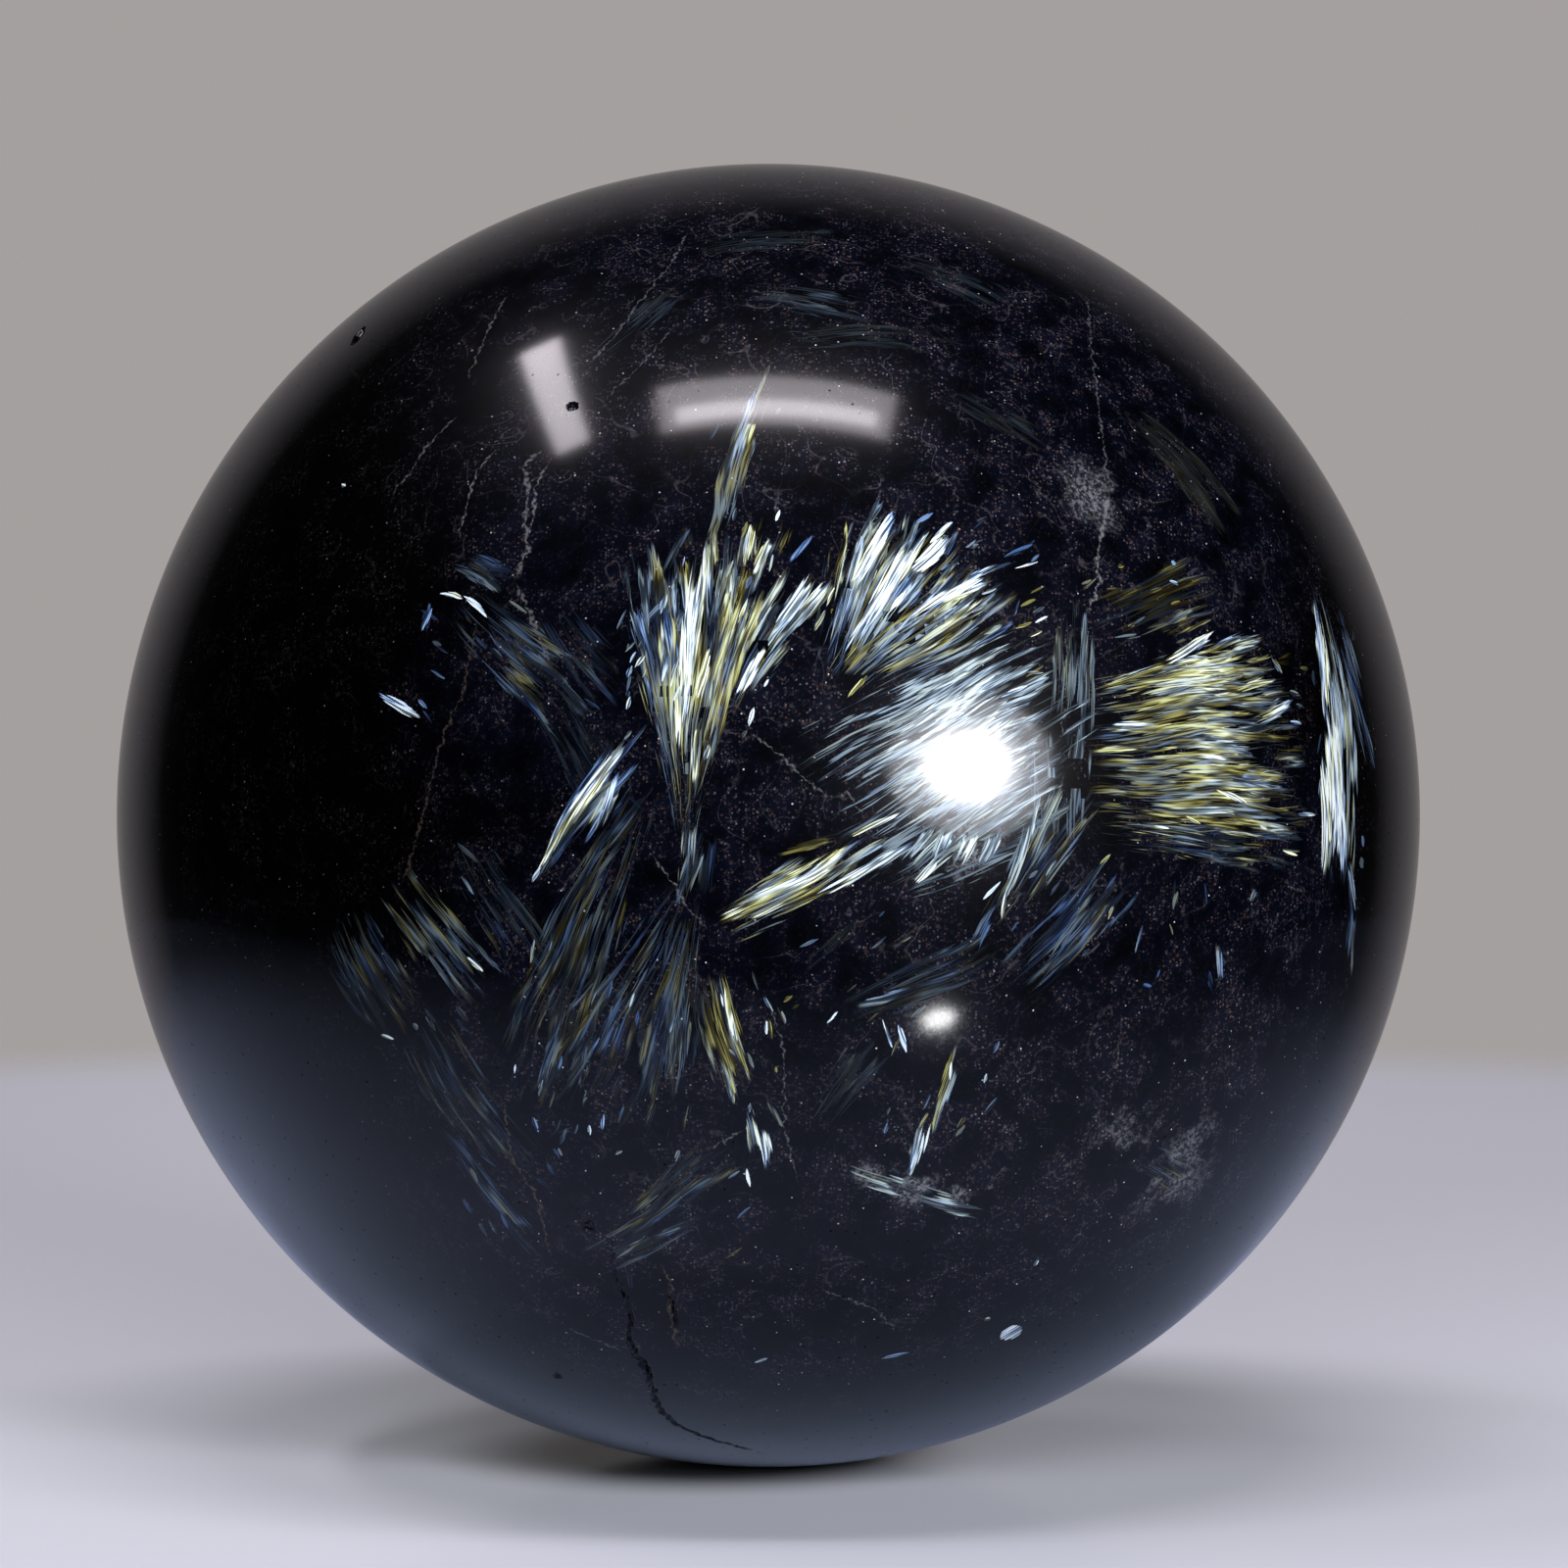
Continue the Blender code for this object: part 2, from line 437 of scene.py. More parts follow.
def lay_out_charts(bm):
    """A texture map with one square chart for each side of the cube."""
    uv = bm.loops.layers.uv.new("OFBake")
    for face in bm.faces:
        middle = face.calc_center_median()
        axis = max(range(3), key=lambda i: abs(middle[i]))
        chart = CHARTS[axis, 1 if middle[axis] > 0 else -1]
        others = [i for i in range(3) if i != axis]
        for corner in face.loops:
            at = [(corner.vert.co[i] + 1) / 2 for i in others]
            at = [CHART_MARGIN + (1 - 2 * CHART_MARGIN) * value for value in at]
            corner[uv].uv = ((chart % 3 + at[0]) / 3, (chart // 3 + at[1]) / 2)


def sunk(directions):
    """How far each point lies below the ground surface, with a rough edge to the damage."""
    points = directions * BALL_RADIUS
    noise.seed_set(ROUGHNESS_SEED)
    ragged = np.array([noise.noise_vector(Vector(point) / (0.45 * MM)) for point in points])
    points = points + 0.16 * MM * ragged
    depth = np.maximum(crack_depth(points, OPEN_CRACK), crack_depth(points, SIDE_CRACK))
    for chip in CHIPS:
        depth = np.maximum(depth, chip_depth(points, *chip))
    return depth


def make_ball():
    """The fine ball, with its damage, its flat foot and its exact shading directions."""
    bm = bmesh.new()
    bmesh.ops.create_cube(bm, size=2)
    bmesh.ops.subdivide_edges(bm, edges=bm.edges, cuts=SIDE_STEPS - 1, use_grid_fill=True)
    divide_near_damage(bm)
    lay_out_charts(bm)
    for vert in bm.verts:
        vert.co = bulged(vert.co)
    mesh = bpy.data.meshes.new("polished_ball")
    bm.to_mesh(mesh)
    bm.free()

    directions = np.empty(len(mesh.vertices) * 3)
    mesh.vertices.foreach_get("co", directions)
    directions = directions.reshape(-1, 3)
    directions /= np.linalg.norm(directions, axis=1)[:, None]
    depth = sunk(directions)
    points = directions * (BALL_RADIUS - depth)[:, None] + np.array(CENTRE)
    standing = points[:, 2] < 0
    points[standing, 2] = 0
    mesh.vertices.foreach_set("co", points.ravel())
    mesh.update()
    mesh.shade_smooth()

    normals = np.empty(len(mesh.vertices) * 3)
    mesh.vertex_normals.foreach_get("vector", normals)
    normals = normals.reshape(-1, 3)
    polished = (depth == 0) & ~standing
    normals[polished] = directions[polished]
    normals[standing] = (0, 0, -1)
    mesh.normals_split_custom_set_from_vertices(normals)
    ball = bpy.data.objects.new("polished_ball", mesh)
    bpy.context.scene.collection.objects.link(ball)
    return ball, directions, depth


ball, directions, depth = make_ball()
triangles = sum(len(face.vertices) - 2 for face in ball.data.polygons)
print(f"ball of {triangles} triangles, damage up to {depth.max() / MM:.2f} mm deep")

# %% [markdown]
# ## Sprays of fibres: where they lie
# Each flash is a bundle of hair-thin fibres. A picture wrapped on the ball would only work from
# one side, and modelling each fibre would need millions of faces. Instead each bundle is
# described like a brush stroke: where it starts and ends, how wide it is at both ends, how far it
# bends, how warm or cold its colour is, how bright it is, how closely its fibres are packed,
# whether it ends in a point, and how much its fibres differ from each other.
#
# The tone goes from -1, deep blue, through 0, white, to 1, greenish gold.

# %% The stroke
Stroke = namedtuple("Stroke", "start end half bend tone light fill point variety seed")
PIXEL = BALL_RADIUS / BALL_CIRCLE[2]
SHORT_BLADE = 45  # pixels; a blade shorter than this is thin and ends in points
CHANCE = np.random.default_rng(11)
strokes = []


def stroke(x0, y0, x1, y1, half0, half1, bend, tone, light, fill, point, variety=1.0):
    """A stroke placed by two pixels, with half its width at each in pixels."""
    start, end = on_ball((x0, y0)), on_ball((x1, y1))
    length = math.hypot(x1 - x0, y1 - y0)
    if length < SHORT_BLADE:
        half0, half1, point = 0.6 * half0, 0.6 * half1, 1
    aside = ((y1 - y0) / length, (x0 - x1) / length)
    half = []
    for (x, y), width in (((x0, y0), half0), ((x1, y1), half1)):
        edge = on_ball((x + width * aside[0], y + width * aside[1]))
        half.append(max((edge - on_ball((x, y))).length, width / BALL_CIRCLE[2]))
    curve = bend / BALL_CIRCLE[2]
    seed = len(strokes)
    strokes.append(Stroke(start, end, half, curve, tone, light, fill, point, variety, seed))


def flecks(count, left, top, right, bottom, lean, tone, light):
    """Small blades by chance in this part of the picture, leaning by these degrees."""
    for _ in range(count):
        x, y = CHANCE.uniform(left, right), CHANCE.uniform(top, bottom)
        angle = math.radians(lean + CHANCE.normal(0, 9))
        reach = CHANCE.uniform(4, 15)
        across, upward = reach * math.cos(angle), reach * math.sin(angle)
        half = CHANCE.uniform(2.0, 4.2)
        tint = float(np.clip(tone + CHANCE.normal(0, 0.35), -1, 1))
        glow = light * CHANCE.uniform(0.35, 1.0)
        stroke(x - across, y + upward, x + across, y - upward, half, half, 0, tint, glow, 0.9, 1)


print(f"blades under {SHORT_BLADE * PIXEL / MM:.1f} mm long are pointed at both ends")

# %% [markdown]
# ## The flashes of the front
# These lists follow the stone, one fan of blades at a time. Each line is one bundle:
# start across and down, end across and down, half the width at each, bend, tone, light, fill and
# point.

# %% The left fan
LEFT_FAN = [
    (698, 862, 712, 535, 5, 86, 0, -0.05, 0.52, 0.75, 0),
    (699, 850, 722, 525, 4, 58, 0, 0.40, 0.76, 0.70, 0),
    (697, 812, 664, 566, 4, 30, 6, -0.35, 0.62, 0.60, 0),
    (704, 832, 788, 525, 4, 28, 0, 0.80, 0.74, 0.65, 0),
    (694, 772, 712, 550, 6, 8, 0, 0.05, 1.25, 0.95, 0.7),
    (692, 770, 700, 655, 5, 8, 0, 0.10, 1.00, 0.75, 0.6),
    (700, 735, 723, 541, 4, 5, 0, 0.35, 0.95, 0.80, 0.7),
    (709, 728, 725, 651, 5, 5, 0, 0.00, 1.30, 0.95, 0.8),
    (706, 812, 716, 724, 4, 5, 0, 0.20, 0.95, 0.85, 0.7),
    (696, 915, 712, 800, 7, 9, 0, 0.00, 0.60, 0.75, 0.2),
    (568, 945, 692, 768, 9, 18, 4, -0.10, 0.30, 0.75, 0),
    (556, 700, 652, 850, 18, 34, -4, -0.55, 0.13, 0.60, 0),
    (734, 651, 745, 595, 4, 4, 0, 0.50, 0.75, 0.80, 0.9),
    (768, 588, 790, 545, 5, 6, 0, 0.30, 0.90, 0.85, 0.7),
    (750, 628, 774, 560, 6, 8, 0, 1.00, 0.50, 0.70, 0.5),
    (759, 581, 769, 530, 4, 5, 0, 0.50, 0.85, 0.85, 0.8),
    (752, 639, 764, 608, 3, 3, 0, 0.90, 0.85, 0.90, 0.9),
    (791, 534, 796, 519, 3, 3, 0, 0.00, 1.25, 1.00, 0.6),
    (801, 579, 835, 540, 3, 3, 0, -1.00, 0.60, 0.95, 0.9),
    (696, 580, 699, 566, 2, 2, 0, -0.90, 0.70, 1.00, 0.6),
    (675, 593, 704, 534, 6, 5, 0, -0.50, 0.30, 0.60, 0.4),
    (673, 629, 681, 603, 4, 5, 0, -0.55, 0.75, 0.80, 0.6),
    (648, 646, 684, 610, 4, 6, 0, -0.50, 0.50, 0.60, 0.5),
    (677, 666, 695, 612, 7, 9, 0, -0.25, 0.45, 0.60, 0.4),
    (636, 667, 650, 652, 4, 4, 0, 0.30, 0.80, 0.85, 0.7),
    (646, 683, 660, 666, 3, 4, 0, 0.00, 0.85, 0.85, 0.7),
    (654, 694, 661, 677, 2, 3, 0, -0.60, 0.85, 0.95, 0.7),
    (675, 700, 682, 666, 3, 4, 0, -0.20, 0.80, 0.80, 0.6),
    (682, 708, 694, 666, 4, 5, 0, -0.15, 0.85, 0.80, 0.6),
    (663, 731, 671, 702, 4, 4, 0, -1.00, 0.55, 0.85, 0.7),
    (680, 734, 684, 698, 3, 3, 0, -0.95, 0.50, 0.85, 0.7),
]

MIDDLE_BUNDLE = [
    (742, 730, 822, 578, 12, 40, 0, 0.10, 0.74, 0.66, 0),
    (784, 654, 829, 580, 4, 5, 0, -0.15, 1.10, 0.90, 0.7),
    (784, 656, 836, 586, 4, 5, 0, -0.10, 1.00, 0.85, 0.7),
    (801, 646, 852, 585, 4, 5, 0, 0.10, 0.85, 0.75, 0.6),
    (780, 668, 806, 640, 5, 6, 0, 0.20, 0.75, 0.70, 0.3),
    (748, 718, 785, 652, 5, 5, 0, -0.15, 1.20, 0.95, 0.7),
    (763, 708, 783, 666, 5, 6, 0, 1.00, 0.45, 0.75, 0.4),
    (779, 702, 785, 692, 3, 3, 0, 0.00, 1.25, 1.00, 0.6),
    (763, 744, 770, 719, 4, 4, 0, 0.00, 1.15, 0.95, 0.7),
    (756, 755, 763, 743, 3, 4, 0, 0.70, 0.75, 0.90, 0.5),
    (778, 652, 791, 620, 2, 2, 0, -0.90, 0.60, 0.90, 0.7),
    (766, 645, 788, 605, 4, 4, 0, -0.75, 0.38, 0.70, 0.5),
    (726, 750, 753, 677, 5, 6, 0, -0.45, 0.55, 0.65, 0.4),
    (717, 780, 725, 757, 4, 4, 0, -0.20, 0.85, 0.90, 0.6),
    (730, 748, 745, 706, 6, 6, 0, 0.40, 0.45, 0.60, 0.4),
]

# %% The upper right fan
UPPER_RIGHT_FAN = [
    (845, 700, 960, 535, 24, 96, 0, -0.05, 0.60, 0.80, 0),
    (880, 700, 1040, 600, 18, 40, 0, 0.10, 0.58, 0.78, 0),
    (855, 696, 935, 520, 14, 66, 0, 0.05, 0.78, 0.65, 0),
    (870, 692, 1015, 588, 14, 34, 0, 0.30, 0.80, 0.65, 0),
    (862, 614, 917, 516, 4, 9, 0, -0.05, 1.30, 0.97, 0.55),
    (848, 660, 872, 596, 9, 8, 0, 0.00, 0.70, 0.65, 0.2),
    (831, 650, 866, 560, 6, 10, 0, 0.30, 0.45, 0.55, 0.2),
    (829, 647, 844, 620, 3, 4, 0, 0.10, 0.90, 0.85, 0.7),
    (842, 622, 853, 596, 3, 3, 0, -0.15, 1.00, 0.95, 0.7),
    (881, 607, 897, 571, 5, 6, 0, 0.05, 0.75, 0.75, 0.5),
    (872, 567, 880, 544, 3, 3, 0, 0.05, 0.70, 0.85, 0.7),
    (859, 675, 956, 517, 7, 11, 0, -0.05, 1.40, 0.99, 0.35),
    (905, 626, 927, 600, 5, 5, 0, 0.00, 1.20, 0.95, 0.5),
    (930, 585, 969, 547, 7, 9, 0, -0.05, 1.25, 0.95, 0.45),
    (947, 556, 973, 530, 4, 5, 0, -0.20, 1.10, 0.95, 0.5),
    (957, 545, 974, 531, 4, 4, 0, -0.50, 0.80, 0.80, 0.3),
    (955, 575, 976, 534, 7, 6, 0, -0.80, 0.50, 0.65, 0.2),
    (957, 585, 982, 556, 5, 5, 0, -0.90, 0.50, 0.70, 0.4),
    (966, 578, 1007, 546, 4, 4, 0, -0.90, 0.50, 0.75, 0.6),
    (984, 571, 1012, 556, 6, 5, 0, -0.95, 0.32, 0.60, 0.4),
    (1020, 571, 1057, 554, 4, 4, 0, -0.95, 0.42, 0.70, 0.5),
    (915, 645, 1026, 574, 4, 8, 4, -0.05, 1.25, 0.92, 0.5),
    (1010, 582, 1038, 573, 5, 4, 0, -0.70, 0.65, 0.75, 0.3),
    (1032, 581, 1063, 572, 2, 2, 0, -0.10, 1.00, 1.00, 0.6),
    (924, 642, 1033, 582, 3, 3, 2, 0.30, 1.00, 0.92, 0.6),
    (930, 664, 1008, 604, 4, 5, 0, 0.50, 0.85, 0.85, 0.5),
    (959, 616, 977, 607, 3, 3, 0, 0.00, 1.05, 1.00, 0.7),
    (912, 628, 945, 598, 6, 8, 0, -0.40, 0.62, 0.65, 0.2),
    (895, 666, 948, 620, 8, 9, 0, -0.30, 0.62, 0.65, 0.2),
    (870, 683, 928, 641, 7, 9, 0, 0.80, 0.45, 0.60, 0.2),
    (861, 716, 889, 685, 4, 5, 0, 0.70, 0.85, 0.90, 0.8),
    (860, 689, 890, 648, 7, 8, 0, 0.40, 0.62, 0.65, 0.2),
    (905, 612, 960, 560, 5, 7, 0, 0.70, 0.40, 0.60, 0.2),
]

# %% The fibres round the brightest highlight, with its sheen painted on them
GREY_VARIETY = 0.3  # these fibres, and the faint veils below and above, are all nearly grey
GREY_FIBRES_AND_PAINTED_SHEEN = [
    # The first eighteen bundles are fibres round the softbox's reflection, and their pale grey is
    # its sheen, painted on; the three plates at the end of them are painted with its reflection.
    # The last ten are faint grey veils of the stone.
    (836, 836, 1105, 682, 78, 70, 0, -0.10, 0.72, 0.95, 0),
    (900, 905, 1100, 796, 26, 46, 0, 0.00, 0.50, 0.85, 0),
    (915, 862, 1085, 750, 44, 42, 0, 0.00, 0.72, 0.75, 0),
    (892, 812, 1050, 716, 42, 46, 0, 0.00, 1.00, 0.85, 0),
    (925, 890, 980, 840, 14, 22, 0, -0.05, 0.80, 0.70, 0.1),
    (930, 905, 960, 872, 8, 10, 0, 0.00, 0.95, 0.80, 0.3),
    (930, 706, 998, 681, 6, 7, 0, -0.05, 0.80, 0.75, 0.3),
    (945, 736, 1002, 706, 9, 8, 0, -0.05, 0.85, 0.75, 0.3),
    (1001, 649, 1025, 636, 3, 4, 0, 0.10, 0.62, 0.75, 0.5),
    (1101, 760, 1106, 612, 15, 12, 0, 0.00, 0.46, 0.80, 0),
    (1080, 745, 1086, 622, 12, 10, 0, 0.20, 0.48, 0.70, 0),
    (1083, 866, 1098, 715, 20, 18, 0, -0.05, 0.46, 0.75, 0),
    (1056, 870, 1066, 740, 12, 16, 0, -0.10, 0.50, 0.65, 0),
    (1022, 930, 1062, 800, 5, 7, 0, -0.05, 0.75, 0.80, 0.5),
    (1044, 905, 1090, 770, 5, 7, 0, 0.10, 0.62, 0.75, 0.4),
    (952, 880, 973, 838, 7, 9, 0, 0.00, 0.85, 1.00, 0.3),
    (976, 885, 997, 842, 8, 9, 0, 0.00, 0.95, 1.00, 0.2),
    (1001, 885, 1022, 842, 7, 8, 0, 0.00, 0.80, 1.00, 0.3),
    (858, 1192, 950, 1226, 8, 11, 3, 0.05, 0.76, 0.70, 0),
    (925, 1214, 1004, 1238, 11, 8, 0, 0.05, 0.72, 0.70, 0),
    (752, 300, 897, 320, 10, 16, 3, 0.00, 0.30, 0.55, 0),
    (700, 256, 860, 246, 8, 14, 4, 0.00, 0.20, 0.50, 0),
    (790, 348, 980, 356, 9, 16, 5, 0.10, 0.20, 0.50, 0),
    (900, 262, 1040, 320, 9, 16, 4, 0.00, 0.20, 0.50, 0),
    (600, 376, 745, 268, 9, 14, 4, -0.05, 0.22, 0.50, 0),
    (1150, 420, 1260, 540, 12, 20, 4, 0.35, 0.18, 0.50, 0),
    (960, 400, 1090, 470, 9, 16, 3, 0.10, 0.16, 0.50, 0),
    (830, 1150, 900, 1060, 12, 26, 0, 0.10, 0.24, 0.50, 0),
]

# %% Brighter blades round the highlight
HIGHLIGHT_BLADES = [
    (1018, 713, 1053, 697, 4, 5, 0, 0.10, 1.05, 0.95, 0.5),
    (1020, 698, 1054, 676, 6, 9, 0, 0.75, 0.65, 0.75, 0.2),
    (1055, 636, 1071, 628, 3, 3, 0, 0.00, 1.15, 1.00, 0.5),
    (1034, 642, 1056, 634, 4, 3, 0, 1.00, 0.65, 0.85, 0.4),
    (1044, 651, 1067, 642, 4, 4, 0, 0.30, 1.00, 0.95, 0.5),
    (1034, 632, 1042, 606, 2, 2, 0, -0.10, 1.00, 0.90, 0.6),
    (1160, 634, 1150, 640, 4, 4, 0, 1.00, 0.50, 0.80, 0.5),
]

# %% The gold fan and the streak at the right
GOLD_FAN = [
    (1105, 775, 1335, 765, 72, 112, 0, 0.35, 0.58, 0.80, 0),
    (1110, 640, 1240, 590, 22, 34, 0, 0.50, 0.30, 0.55, 0),
    (1100, 772, 1330, 758, 66, 104, 0, 0.60, 0.82, 0.58, 0),
    (1108, 706, 1296, 662, 8, 28, -6, 0.65, 0.90, 0.70, 0),
    (1185, 679, 1242, 644, 5, 6, 0, 0.05, 1.15, 0.90, 0.5),
    (1180, 645, 1240, 620, 10, 12, 0, 0.45, 0.60, 0.60, 0),
    (1225, 672, 1290, 650, 8, 14, 0, 0.15, 0.75, 0.60, 0),
    (1150, 697, 1272, 688, 5, 12, 0, 0.50, 0.95, 0.65, 0.1),
    (1250, 704, 1303, 688, 6, 8, 0, 0.70, 0.85, 0.70, 0.1),
    (1276, 738, 1321, 714, 8, 10, 0, -0.20, 0.95, 0.72, 0.1),
    (1124, 741, 1212, 744, 5, 9, 0, 0.10, 1.05, 0.75, 0.3),
    (1111, 767, 1212, 753, 3, 7, 0, 0.65, 0.95, 0.75, 0.2),
    (1150, 773, 1302, 762, 4, 12, 0, 0.60, 0.90, 0.65, 0.1),
    (1180, 781, 1286, 775, 4, 9, 0, 0.50, 0.80, 0.65, 0.1),
    (1230, 791, 1313, 798, 4, 7, 0, 0.00, 0.95, 0.75, 0.2),
    (1113, 807, 1228, 807, 4, 6, 0, 0.50, 0.50, 0.65, 0.2),
    (1237, 804, 1278, 822, 4, 5, 0, 0.10, 1.05, 0.85, 0.4),
    (1110, 822, 1224, 840, 6, 9, 0, 0.60, 0.45, 0.60, 0.1),
    (1174, 842, 1196, 846, 2, 2, 0, 0.00, 1.05, 1.00, 0.6),
    (1220, 830, 1328, 826, 7, 10, 0, 0.30, 0.62, 0.55, 0),
    (1262, 850, 1336, 851, 6, 9, 0, -0.20, 0.38, 0.50, 0),
    (1306, 866, 1326, 874, 3, 3, 0, 0.00, 0.95, 1.00, 0.6),
    (1296, 668, 1310, 690, 4, 4, 0, -0.30, 0.60, 0.80, 0.3),
    (1130, 852, 1325, 872, 12, 26, 0, -0.35, 0.32, 0.60, 0),
]

FAR_RIGHT = [
    (1362, 908, 1338, 585, 20, 5, -5, 0.00, 0.74, 0.96, 0.15),
    (1361, 885, 1351, 700, 9, 8, -2, 0.05, 1.25, 0.95, 0.6),
    (1351, 898, 1349, 760, 6, 5, 0, -0.10, 1.15, 0.92, 0.6),
    (1371, 900, 1362, 790, 5, 5, 0, -0.45, 0.95, 0.90, 0.6),
    (1353, 745, 1340, 608, 6, 4, 0, -0.05, 1.10, 0.92, 0.7),
    (1367, 800, 1357, 690, 4, 4, 0, 0.60, 0.70, 0.85, 0.6),
    (1400, 795, 1366, 650, 8, 6, 4, -0.55, 0.46, 0.80, 0.3),
    (1392, 720, 1368, 630, 5, 4, 2, -0.40, 0.36, 0.70, 0.4),
    (1373, 644, 1365, 617, 3, 3, 0, -0.90, 0.42, 0.90, 0.6),
    (1374, 1004, 1380, 900, 6, 4, 0, -0.55, 0.50, 0.72, 0.3),
    (1381, 936, 1375, 872, 4, 3, 0, -0.50, 0.60, 0.80, 0.6),
]

# %% The blades of the lower half
LOWER_BLADES = [
    (1030, 1010, 1150, 880, 24, 34, 0, -0.30, 0.38, 0.60, 0),
    (860, 1040, 1030, 950, 16, 30, 0, -0.25, 0.26, 0.50, 0),
    (1010, 950, 1110, 790, 16, 34, 0, -0.05, 0.46, 0.65, 0),
    (735, 950, 900, 850, 18, 26, 0, 0.20, 0.62, 0.78, 0),
    (543, 902, 660, 735, 9, 24, 0, -0.35, 0.52, 0.75, 0.4),
    (541, 902, 650, 745, 8, 7, 3, -0.05, 1.10, 0.90, 0.85),
    (608, 853, 639, 780, 5, 9, 0, -0.40, 0.90, 0.75, 0.5),
    (541, 903, 553, 882, 3, 5, 0, -0.60, 0.95, 0.90, 0.5),
    (590, 862, 630, 800, 8, 9, 0, -0.30, 0.70, 0.65, 0.3),
    (731, 948, 872, 864, 13, 10, 0, 0.45, 1.15, 0.94, 0.25),
    (736, 934, 838, 872, 8, 8, 0, 1.00, 0.55, 0.70, 0.2),
    (864, 855, 922, 828, 3, 3, 0, 0.00, 1.05, 0.95, 0.6),
    (792, 872, 866, 850, 4, 5, 0, 0.60, 0.50, 0.65, 0.3),
    (824, 920, 948, 850, 5, 5, 0, -0.20, 0.95, 0.85, 0.6),
    (852, 886, 914, 853, 4, 5, 0, 0.30, 0.65, 0.75, 0.4),
    (694, 928, 716, 845, 8, 9, 0, 0.15, 0.50, 0.60, 0.3),
    (720, 918, 725, 848, 8, 8, 0, -0.60, 0.25, 0.50, 0.2),
    (684, 1010, 692, 935, 12, 10, 0, -0.20, 0.22, 0.50, 0.1),
    (541, 987, 546, 954, 3, 3, 0, 0.10, 0.90, 0.95, 0.7),
    (1000, 921, 1024, 896, 4, 4, 0, 0.00, 0.95, 0.90, 0.6),
    (1021, 943, 1028, 905, 4, 4, 0, -0.10, 0.85, 0.85, 0.5),
    (1054, 1003, 1138, 896, 6, 12, 0, -0.50, 0.45, 0.55, 0.2),
    (1130, 940, 1137, 922, 3, 3, 0, 0.00, 0.70, 0.80, 0.5),
    (990, 984, 1024, 918, 5, 6, 6, -0.30, 0.45, 0.65, 0.3),
    (930, 1006, 994, 982, 5, 6, -2, -0.30, 0.50, 0.65, 0.3),
    (855, 1030, 935, 1006, 4, 5, -3, -0.35, 0.60, 0.75, 0.4),
    (842, 1046, 856, 1031, 2, 3, 0, -0.40, 0.85, 0.95, 0.5),
    (1157, 978, 1168, 937, 3, 3, 0, -0.60, 0.60, 0.85, 0.5),
    (1246, 1003, 1242, 958, 3, 4, 0, -0.50, 0.60, 0.80, 0.5),
    (1275, 922, 1282, 905, 4, 4, 0, -0.80, 0.50, 0.80, 0.5),
    (815, 992, 880, 935, 6, 5, 0, -0.10, 0.26, 0.50, 0.2),
]

